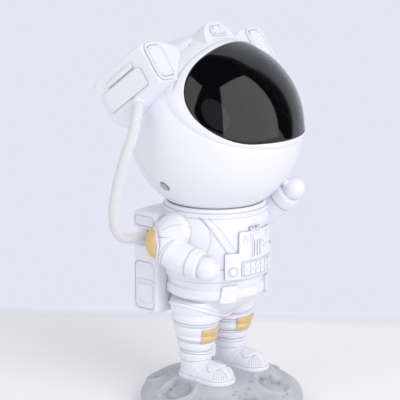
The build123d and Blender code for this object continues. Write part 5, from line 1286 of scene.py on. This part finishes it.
def helmet_radius(d):
    """Distance from the head's centre to the helmet: the larger of the ball's and the crown ball's."""
    crown = np.array(CROWN_CENTRE)
    along = d @ crown
    reach = along + np.sqrt(along ** 2 - crown @ crown + CROWN_RADIUS ** 2)
    return HEAD_RADIUS + 0.5 * ((reach - HEAD_RADIUS) + np.sqrt((reach - HEAD_RADIUS) ** 2 + 0.35)) - 0.02


def face_directions(from_front):
    """Directions from the head's centre: an angle from the face's axis (-Y), in columns round it from +X."""
    a = angles(FACE_COLUMNS)
    return stack(np.sin(from_front) * np.cos(a), -np.cos(from_front), np.sin(from_front) * np.sin(a))


def shell_points(angle, radius, inner_angle):
    """Outer surface of a helmet shell, then the inner one, that runs back behind it."""
    wall = face_directions(inner_angle)
    wall = wall * (helmet_radius(wall) - HEAD_WALL)[..., None]
    return in_head(np.concatenate([face_directions(angle) * radius[..., None], wall]))


def helmet_skins():
    """Front shell from the bezel's edge to the rear seam and the rear cover, each with its wall."""
    start = np.arcsin(oval(BEZEL, FACE_COLUMNS) / HEAD_RADIUS)
    stop = np.full_like(start, math.acos(-HELMET_SEAM_Y / HEAD_RADIUS))
    for _ in range(3):
        stop = np.arccos(-HELMET_SEAM_Y / helmet_radius(face_directions(stop)))

    def front_angle(first, last, count):
        return start + 0.0012 + (stop - start - 0.0016) * column((first, last, count))

    def rear_angle(count):
        return stop + 0.0006 + (math.pi - stop) * column((0, 0.985, count))

    angle = front_angle(0, 1, 150)
    d = face_directions(angle)
    radius = helmet_radius(d)
    edge = (stop - angle) * HEAD_RADIUS
    lip = (angle - start) * HEAD_RADIUS
    radius = radius - 0.25 * line_mark(edge, 0.4)
    ball_level = HEAD_RADIUS + 0.05
    rise = radius - ball_level
    radius = np.where(rise > 0, ball_level + rise * smooth(lip, -0.8, 4.0), radius)
    radius = radius - 0.22 * line_mark(lip, 0.35)
    # Painted shade in the groove at the rear seam.
    dark = 0.5 * line_mark(edge, 0.3)
    for side, _ in SIDES:
        cheek = unit(np.array([side * CHEEK[0], CHEEK[1], CHEEK[2]]))
        off = np.linalg.norm(d - cheek, axis=-1) * HEAD_RADIUS
        radius -= CHEEK_DEPTH * (1 - smooth(off, CHEEK_RADIUS - 0.35, CHEEK_RADIUS + 0.25))
        # Painted shade in the cheek screw recess.
        dark += 0.55 * (1 - smooth(off, CHEEK_RADIUS - 0.3, CHEEK_RADIUS + 0.05))
    points = shell_points(angle, radius, front_angle(1, 0, 12))
    front = skin(points, closed_rows=True, seam=dark)
    rows = np.arange(len(front["quads"])) // FACE_COLUMNS
    front["material"] = ((rows >= len(angle) - 1) & (rows < len(points) - 1)).astype(int)
    angle = rear_angle(110)[::-1]
    edge = (angle - stop) * HEAD_RADIUS
    radius = helmet_radius(face_directions(angle)) - 0.25 * line_mark(edge, 0.4)
    points = shell_points(angle, radius, rear_angle(14))
    # Painted shade in the rear cover's groove at the seam.
    return front, skin(points, seam=0.5 * line_mark(edge, 0.3))


def on_ball(reach, radius):
    """Points of a ball's front at a distance from its axis, in columns round it from +X."""
    a = angles(reach.shape[1])
    return stack(reach * np.cos(a), -np.sqrt(radius ** 2 - reach ** 2), reach * np.sin(a))


def bezel_skin():
    """Visor rim on the ball: a bright roll beside the glass, a groove outside it, then a plain brim."""
    inner = oval(OPENING, FACE_COLUMNS) + 0.03
    outer = oval(BEZEL, FACE_COLUMNS)
    share = column((0, 1, 64))
    share = share - 0.045 * np.sin(2 * math.pi * share)
    reach = inner + (outer - inner) * share
    off = reach - inner
    roll = np.clip(off / 0.9, 0, 1)
    back = np.clip((outer - reach) / 0.7, 0, 1)
    wide = smooth(outer - inner, 3.6, 5.0)
    height = BEZEL_PROUD - 0.75 * (1 - np.sqrt(1 - (1 - roll) ** 2))
    height = height - 0.7 * (1 - np.sqrt(1 - (1 - back) ** 2))
    height = height - 0.45 * line_mark(off - 3.1, 0.3) * wide - 0.25 * smooth(off, 3.1, 3.6) * wide
    low = HEAD_RADIUS - HEAD_WALL
    under = np.minimum(np.vstack([outer, inner]), low - 0.5)
    points = np.concatenate([on_ball(reach, HEAD_RADIUS + height), on_ball(under, low)])
    # Painted shade in the groove outside the roll.
    return skin(in_head(points), closed_rows=True, seam=0.75 * line_mark(off - 3.1, 0.28) * wide)


def visor_skin():
    """Smoked pane: a ball cap inside the opening's oval, with its wall."""
    edge = oval(OPENING, 360) - 0.04
    share = column((0.03, 0.9, 36), (0.915, 1.0, 10))
    radius = HEAD_RADIUS + VISOR_PROUD
    outer = on_ball(edge * share, radius - 0.3 * line_mark(edge * (1 - share), 0.25))
    return skin(in_head(np.concatenate([outer, on_ball(edge * share[::-1], radius - VISOR_THICK)])))


class STARLAMP_OT_helmet(bpy.types.Operator):
    """Helmet shells, the visor's rim and the smoked visor"""
    bl_idname = "starlamp.helmet"
    bl_label = "Helmet and visor"

    def execute(self, context):
        front, rear = helmet_skins()
        # The front shell's inner wall takes the near-black painted shade.
        put("helmet_front_skin", [front], "shell_white", ("helmet_shell",), "head", 50.0,
            ("shell_white", "inner_dark"))
        put("helmet_rear_skin", [rear], "shell_white", ("helmet_rear_cover",), "head", 50.0)
        put("visor_rim", [bezel_skin()], "shell_white", ("visor_bezel",), "head", 60.0, ("plate_white",))
        put("visor_pane", [visor_skin()], "visor_smoke", ("visor",), "head", 60.0)
        return {"FINISHED"}


def out_of_helmet(points):
    """Points inside the helmet's wall moved out along their ray to a level in it."""
    reach = np.linalg.norm(points, axis=-1, keepdims=True)
    d = points / reach
    wall = helmet_radius(d)[..., None] - HOUSING_SINK
    return np.where(reach < wall, d * wall, points)


# Planes of the right-angled and sloping faces of the housings: a normal and a point on each.
SIDE_PLANES = [((1, 0, 0), (HOUSING_SIDE_X, 0, 0)), ((0, 0, 1), (0, 0, 46.8)),
               ((-0.385, 0, 0.923), (36.5, 0, 46.8)), ((0.799, 0, -0.601), (HOUSING_SIDE_X, 0, 24.5)),
               ((0, -1, 0), (0, HOUSING_FRONT_Y, 0)),
               ((0, 1, 0), (0, 21.0, 0)), ((0, 0, -1), (0, 0, 16.2)), ((0, -0.196, -0.98), (0, 10.0, 16.2)),
               ((0, 0.707, -0.707), (0, 21.0, 18.6)), ((-1, 0, 0), (25.0, 0, 0))]
TOP_PLANES = [((0, 0, 1), (0, 0, 48.6)), ((0, -1, 0), (0, TOP_FRONT_Y, 0)), ((0, 1, 0), (0, -14.0, 0)),
              ((0, 0, -1), (0, 0, 36.0))]
TOP_PLANES += [((x * side, 0, z), (9.6 * side, 0, 45.2)) for x, z in ((0.562, 0.827), (0.899, 0.438))
               for side in (-1, 1)]


def stud(place, x, y):
    """Small dome-headed screw on a cover plate."""
    return pad(disc_outline(x, y, 1.15, 20), 1.35, place, edge=0.4, sink=-0.7, crown=0.15, step=0.3, fill=4)


class STARLAMP_OT_housings(bpy.types.Operator):
    """Lamp housings with their cover plates, panels, bars and small screws"""
    bl_idname = "starlamp.housings"
    bl_label = "Lamp housings"

    def execute(self, context):
        steps = column((0.02, 0.95, 60), (0.965, math.pi - 0.965, 110), (math.pi - 0.95, math.pi - 0.02, 60))
        block = out_of_helmet(block_points((40.5, 0.0, 32.5), SIDE_PLANES, 34.0, steps, 220))
        top = block_points((0.0, -23.0, 41.5), TOP_PLANES, 26.0, column((0.02, math.pi - 0.02, 150)), 160)
        blocks = [(name, block * (side, 1, 1)) for side, name in SIDES] + [("top", out_of_helmet(top))]
        for name, points in blocks:
            put(name + "_housing_skin", [skin(in_head(points))], "shell_white", (name + "_lamp_housing",),
                "head", 60.0)

        def front(y):
            return lambda u, v, h: in_head(stack(u, y - h, v))

        def flank(side):
            return lambda u, v, h: in_head(stack(side * (HOUSING_SIDE_X + h), u, v))

        place = front(HOUSING_FRONT_Y)
        plates = []
        screws = []
        panels = []
        for side, _ in SIDES:
            x = side * 44.8
            outline = box_outline(x - 7.6, x + 7.6, 23.4, 46.3, 5.4, 9)
            plates.append(pad(outline, 0.9, place, edge=0.45, channel=(2.0, 0.5, 0.5), step=0.6))
            screws += [stud(place, x + dx, 34.8 + dz) for dx in (-3.4, 3.4) for dz in (-8.2, 8.2)]
            outline = rounded([(-14.8, 26.0), (16.8, 26.0), (16.8, 37.6), (-12.0, 37.6), (-14.8, 36.2)], 1.4)
            panels.append(pad(outline, 1.2, flank(side), edge=0.5))
            panels.append(pad(box_outline(-11.0, 11.2, 38.5, 41.4, 0.6, 5), 1.2, flank(side), edge=0.45))
        place = front(TOP_FRONT_Y)
        outline = rounded([(-6.5, 39.3), (6.5, 39.3), (6.2, 44.4), (3.6, 46.7), (-3.6, 46.7), (-6.2, 44.4)],
                          1.6)
        plates.append(pad(outline, 0.9, place, channel=(1.1, 0.4, 0.35), step=0.5))
        screws += [stud(place, dx, 44.2) for dx in (-2.6, 2.6)]
        for name, skins, node in (("housing_cover_plates", plates, "face_plates"),
                                  ("housing_side_panels", panels, "side_panels"),
                                  ("cover_plate_screws", screws, "plate_screws")):
            put(name, skins, "plate_white", (node,), "head")
        return {"FINISHED"}


def hose_line(name, route):
    """Points read from the hose's smooth line, a NURBS spline through its route's control points."""
    curve = bpy.data.curves.new(name + "_line", "CURVE")
    curve.dimensions = "3D"
    curve.resolution_u = 28
    spline = curve.splines.new("NURBS")
    spline.points.add(len(route) - 1)
    for point, place in zip(spline.points, route):
        point.co = (place[0] * MM, place[1] * MM, place[2] * MM, 1.0)
    spline.order_u = 3
    spline.use_endpoint_u = True
    holder = bpy.data.objects.new(name + "_line", curve)
    mesh = bpy.data.meshes.new_from_object(holder)
    flat = np.zeros(len(mesh.vertices) * 3)
    mesh.vertices.foreach_get("co", flat)
    bpy.data.objects.remove(holder)
    bpy.data.meshes.remove(mesh)
    bpy.data.curves.remove(curve)
    return flat.reshape(-1, 3) / MM


def hose_skin(line, ends):
    """Knitted tube: rows of V stitches, a cosine of the row phase that slants to each wale's middle."""
    along = np.concatenate([[0.0], np.cumsum(np.linalg.norm(np.diff(line, axis=0), axis=1))])
    at = np.linspace(0, along[-1], int(along[-1] / 0.2))
    fine = np.stack([np.interp(at, along, line[:, k]) for k in range(3)], -1)
    padded = np.concatenate([2 * fine[:1] - fine[8:0:-1], fine, 2 * fine[-1:] - fine[-2:-10:-1]])
    fine = np.stack([np.convolve(padded[:, k], np.ones(9) / 9, "same")[8:-8] for k in range(3)], -1)
    fine[0], fine[-1] = line[0], line[-1]
    a = angles(112)
    s = (at - (at[-1] if ends < 0 else 0.0))[:, None]
    across = np.abs((a / (2 * math.pi) * WALES % 1.0) - 0.5) * 2
    stitch = 0.5 + 0.5 * np.cos(2 * math.pi * (s / STITCH_LENGTH + across))
    relief = 0.35 + 0.65 * stitch * np.sin(math.pi * across) ** 0.5
    points = tube(fine, HOSE_RADIUS - millimetres("knit_depth") * (1 - relief), a)
    # Painted shade between the stitches, where the knit sinks.
    return skin(points, seam=1.5 * (0.65 - relief)), fine


class STARLAMP_OT_hose(bpy.types.Operator):
    """Knitted hose from the backpack's waist to the right lamp housing"""
    bl_idname = "starlamp.hose"
    bl_label = "Hose"

    def execute(self, context):
        for name, route, ends, bodies, span in (
                ("lower", HOSE_LOWER, -1, ("stand", "swivel"), (HOSE_LOWER[1], HOSE_LOWER[-1])),
                ("upper", HOSE_UPPER, 1, ("swivel", "head"), (HOSE_UPPER[0], HOSE_UPPER[-1]))):
            knit, path = hose_skin(hose_line(name, route), ends)
            made = put("hose_" + name + "_sleeve", [knit], "sleeve", ("hose_" + name,), None, 70.0)
            start, end = ([c * MM for c in point] for point in span)
            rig.blend(made, *bodies, start, end)
            real = float(np.sum(np.linalg.norm(np.diff(path, axis=0), axis=1)) * MM)
            exit_point = [c * MM for c in route[0]]
            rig.cord(made, exit=exit_point, length=real, diameter=2 * HOSE_RADIUS * MM, far_end="object",
                    stiffness="medium", lay="taut",
                    path=(path * MM)[::6].tolist() + [(path[-1] * MM).tolist()])
        return {"FINISHED"}


class STARLAMP_OT_pack(bpy.types.Operator):
    """Side panels of the backpack, set in its recesses"""
    bl_idname = "starlamp.pack"
    bl_label = "Backpack panels"

    def execute(self, context):
        skins = []
        for side, _ in SIDES:
            for y0, y1, z0, z1, thick, corner in ((23.75, 38.05, 58.95, 86.25, 0.75, 3.4),
                                                  (24.2, 37.2, 74.9, 76.3, 1.15, 0.6),
                                                  (24.6, 36.8, 62.8, 73.6, 1.1, 2.4),
                                                  (23.9, 38.0, 107.2, 113.0, 0.75, 2.4)):
                outline = box_outline(y0, y1, z0, z1, corner, 7)
                skins.append(pad(outline, thick, lambda x, y, h: stack(side * (31.1 + h), x, y), edge=0.35,
                                 sink=0.1, step=0.6))
        put("backpack_side_plates", skins, "pack_white")
        return {"FINISHED"}


class STARLAMP_OT_inner(bpy.types.Operator):
    """Finishes of the pieces that keep their CAD shape"""
    bl_idname = "starlamp.inner"
    bl_label = "Inner pieces"

    def execute(self, context):
        for finish, nodes in CAD_FINISHES.items():
            for thing in (frame["nodes"][node] for node in nodes):
                if not thing.material_slots:
                    thing.data.materials.append(finishes[finish])
                for slot in thing.material_slots:
                    slot.material = finishes[finish]
        return {"FINISHED"}


# ------------------------------------------------------------------ studio
CAMERA_TARGET = (-8.37, 9.64, 121.44)
CAMERA_BACK = (-0.7347, -0.6380, 0.2306)
CAMERA_DISTANCE = 797.3
CAMERA_LENS = 127.43
# Lamps: name, place in metres, width, height and watts. Panels: two of each corner's coordinates, in metres.
SOFTBOXES = (("key_softbox", (-0.3, -1.4, 1.0), 1.2, 1.0, 12.4),
             ("fill_softbox", (-1.5, 0.3, 0.9), 0.9, 0.7, 2.5),
             ("top_softbox", (0.1, 0.3, 1.6), 1.4, 1.4, 0.3))
FRONT_PANEL = ((-0.77, -0.3), (0.65, -0.3), (0.65, 2.17), (-0.77, 2.17))
SIDE_PANEL = ((-0.16, -0.3), (-0.16, 1.68), (0.9, 2.6), (0.9, -0.3))
FLOOR_REACH = 6.0


def add_thing(name, data):
    """A new object in the scene."""
    made = bpy.data.objects.new(name, data)
    bpy.context.scene.collection.objects.link(made)
    return made


def aim(thing, place, target):
    """Puts a lamp or camera at a place, in metres, looking at a target, with its top upwards."""
    back = (Vector(place) - Vector(target)).normalized()
    right = Vector((0, 0, 1)).cross(back).normalized()
    turn = Matrix((right, back.cross(right), back)).transposed()
    thing.matrix_world = Matrix.Translation(Vector(place)) @ turn.to_4x4()


def softbox(name, place, width, height, power):
    """Large rectangular lamp that looks at the figure, unseen by glossy surfaces."""
    lamp = bpy.data.lights.new(name, "AREA")
    lamp.shape = "RECTANGLE"
    lamp.size = width
    lamp.size_y = height
    lamp.energy = power
    holder = add_thing(name, lamp)
    aim(holder, place, (0.0, 0.0, 0.15))
    holder.visible_glossy = False


def sheet(name, corners, finish):
    """Four-cornered sheet with a finish."""
    mesh = bpy.data.meshes.new(name)
    mesh.from_pydata(corners, [], [(0, 1, 2, 3)])
    mesh.materials.append(finish)
    return add_thing(name, mesh)


def make_floor(colours):
    """Large floor, white near the lamp, turning to the backdrop's colour behind it."""
    f = Finish("studio_floor")
    parts = f.node("ShaderNodeVectorMath", {"operation": "DOT_PRODUCT"},
                   {0: f.place, 1: (0.809, 0.588, 0.0)}, "Value")
    far = f.smoothstep(parts, 0.145, 0.175)
    tone = f.mix(far, tuple(colours.floor), tuple(colours.backdrop))
    finish = f.done(base_color=tone, roughness=0.75 + 0.1 * f.noise(6.0, 2.0), alpha=1.0 - far,
                    specular_ior_level=0.2)
    corners = [(x * FLOOR_REACH, y * FLOOR_REACH, 0) for x, y in ((-1, -1), (1, -1), (1, 1), (-1, 1))]
    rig.stage(sheet("studio_floor", corners, finish))


def make_world(colours):
    """World: backdrop colour for the camera, soft light for surfaces, dark behind the camera for gloss."""
    world = bpy.data.worlds.new("studio")
    bpy.context.scene.world = world
    f = Finish("studio", world)
    place = f.node("ShaderNodeTexCoord", output="Generated")

    def side_of(normal, low, high):
        """1 on the side of a plane through the eye that its normal points to, and 0 on the other."""
        dot = f.node("ShaderNodeVectorMath", {"operation": "DOT_PRODUCT"}, {0: place, 1: normal}, "Value")
        return f.smoothstep(dot, low, high)

    def background(colour, strength):
        return f.node("ShaderNodeBackground", {}, {"Color": (*colour, 1.0), "Strength": strength})

    def choose(ray, other, chosen):
        path = f.node("ShaderNodeLightPath", output=ray)
        return f.node("ShaderNodeMixShader", {}, {0: path, 1: other, 2: chosen})

    bright = side_of((0.802, 0.457, -0.385), -0.01, 0.04) * side_of((0.407, 0.914, 0.0), -0.04, 0.1)
    soft = background((0.96, 0.965, 1.0), 0.66)
    surface = choose("Is Glossy Ray", soft, background(colours.backdrop, bright))
    surface = choose("Is Camera Ray", surface, background(colours.backdrop, 1.0))
    f.node("ShaderNodeOutputWorld", {}, {"Surface": surface})


def reflector(name, corners, level):
    """Lit panel that only glossy surfaces see, through four corners in metres."""
    f = Finish(name)
    lit = f.node("ShaderNodeEmission", {}, {"Color": (1.0, 1.0, 1.02, 1.0), "Strength": level})
    f.node("ShaderNodeOutputMaterial", {}, {"Surface": lit})
    panel = sheet(name, corners, f.owner)
    panel.visible_camera = False
    panel.visible_diffuse = False
    panel.visible_shadow = False
    panel.visible_transmission = False
    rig.stage(panel)


class STARLAMP_OT_stage(bpy.types.Operator):
    """Camera, floor, world and lamps"""
    bl_idname = "starlamp.stage"
    bl_label = "Studio"

    def execute(self, context):
        scene = context.scene
        scene.view_settings.view_transform = "Standard"
        lens = bpy.data.cameras.new("camera")
        lens.lens = CAMERA_LENS
        lens.sensor_width = 36.0
        lens.sensor_fit = "HORIZONTAL"
        lens.clip_end = 30.0
        camera = add_thing("camera", lens)
        target = [c * MM for c in CAMERA_TARGET]
        aim(camera, [t + CAMERA_DISTANCE * MM * b for t, b in zip(target, CAMERA_BACK)], target)
        scene.camera = camera
        make_floor(scene.star_lamp_colours)
        make_world(scene.star_lamp_colours)
        for lamp in SOFTBOXES:
            softbox(*lamp)
        reflector("front_panel", [(x, -0.9, z) for x, z in FRONT_PANEL], 1.8)
        reflector("side_panel", [(-0.9, y, z) for y, z in SIDE_PANEL], 1.4)
        return {"FINISHED"}


class STARLAMP_PT_panel(bpy.types.Panel):
    """Buttons that make the lamp's pieces"""
    bl_idname = "STARLAMP_PT_panel"
    bl_label = "Star lamp"
    bl_space_type = "VIEW_3D"
    bl_region_type = "UI"
    bl_category = "Star lamp"

    def draw(self, context):
        for operator in OPERATORS:
            self.layout.operator(operator.bl_idname)
        for group in (context.scene.star_lamp_sizes, context.scene.star_lamp_colours):
            for name in group.__annotations__:
                self.layout.prop(group, name)


OPERATORS = (STARLAMP_OT_stage, STARLAMP_OT_hose, STARLAMP_OT_base, STARLAMP_OT_boots, STARLAMP_OT_legs,
             STARLAMP_OT_torso, STARLAMP_OT_belt, STARLAMP_OT_chest, STARLAMP_OT_arms, STARLAMP_OT_patches,
             STARLAMP_OT_collar, STARLAMP_OT_helmet, STARLAMP_OT_housings, STARLAMP_OT_pack,
             STARLAMP_OT_inner)
CLASSES = (StarLampSizes, StarLampColours) + OPERATORS + (STARLAMP_PT_panel,)


def register():
    for each in CLASSES:
        bpy.utils.register_class(each)
    bpy.types.Scene.star_lamp_sizes = bpy.props.PointerProperty(type=StarLampSizes)
    bpy.types.Scene.star_lamp_colours = bpy.props.PointerProperty(type=StarLampColours)


def unregister():
    del bpy.types.Scene.star_lamp_sizes
    del bpy.types.Scene.star_lamp_colours
    for each in reversed(CLASSES):
        bpy.utils.unregister_class(each)


def main():
    register()
    make_finishes(bpy.context.scene.star_lamp_colours)
    bpy.ops.starlamp.stage()
    bpy.ops.starlamp.hose()
    bpy.ops.starlamp.base()
    bpy.ops.starlamp.boots()
    bpy.ops.starlamp.legs()
    bpy.ops.starlamp.torso()
    bpy.ops.starlamp.belt()
    bpy.ops.starlamp.chest()
    bpy.ops.starlamp.arms()
    bpy.ops.starlamp.patches()
    bpy.ops.starlamp.collar()
    bpy.ops.starlamp.helmet()
    bpy.ops.starlamp.housings()
    bpy.ops.starlamp.pack()
    bpy.ops.starlamp.inner()
    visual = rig.bounds()
    boxes = {"cad": [list(map(float, c)) for c in CAD_BOX], "visual": [list(map(float, c)) for c in visual]}
    with open("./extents.json", "w") as out:
        json.dump(boxes, out)


if __name__ == "__main__":
    main()
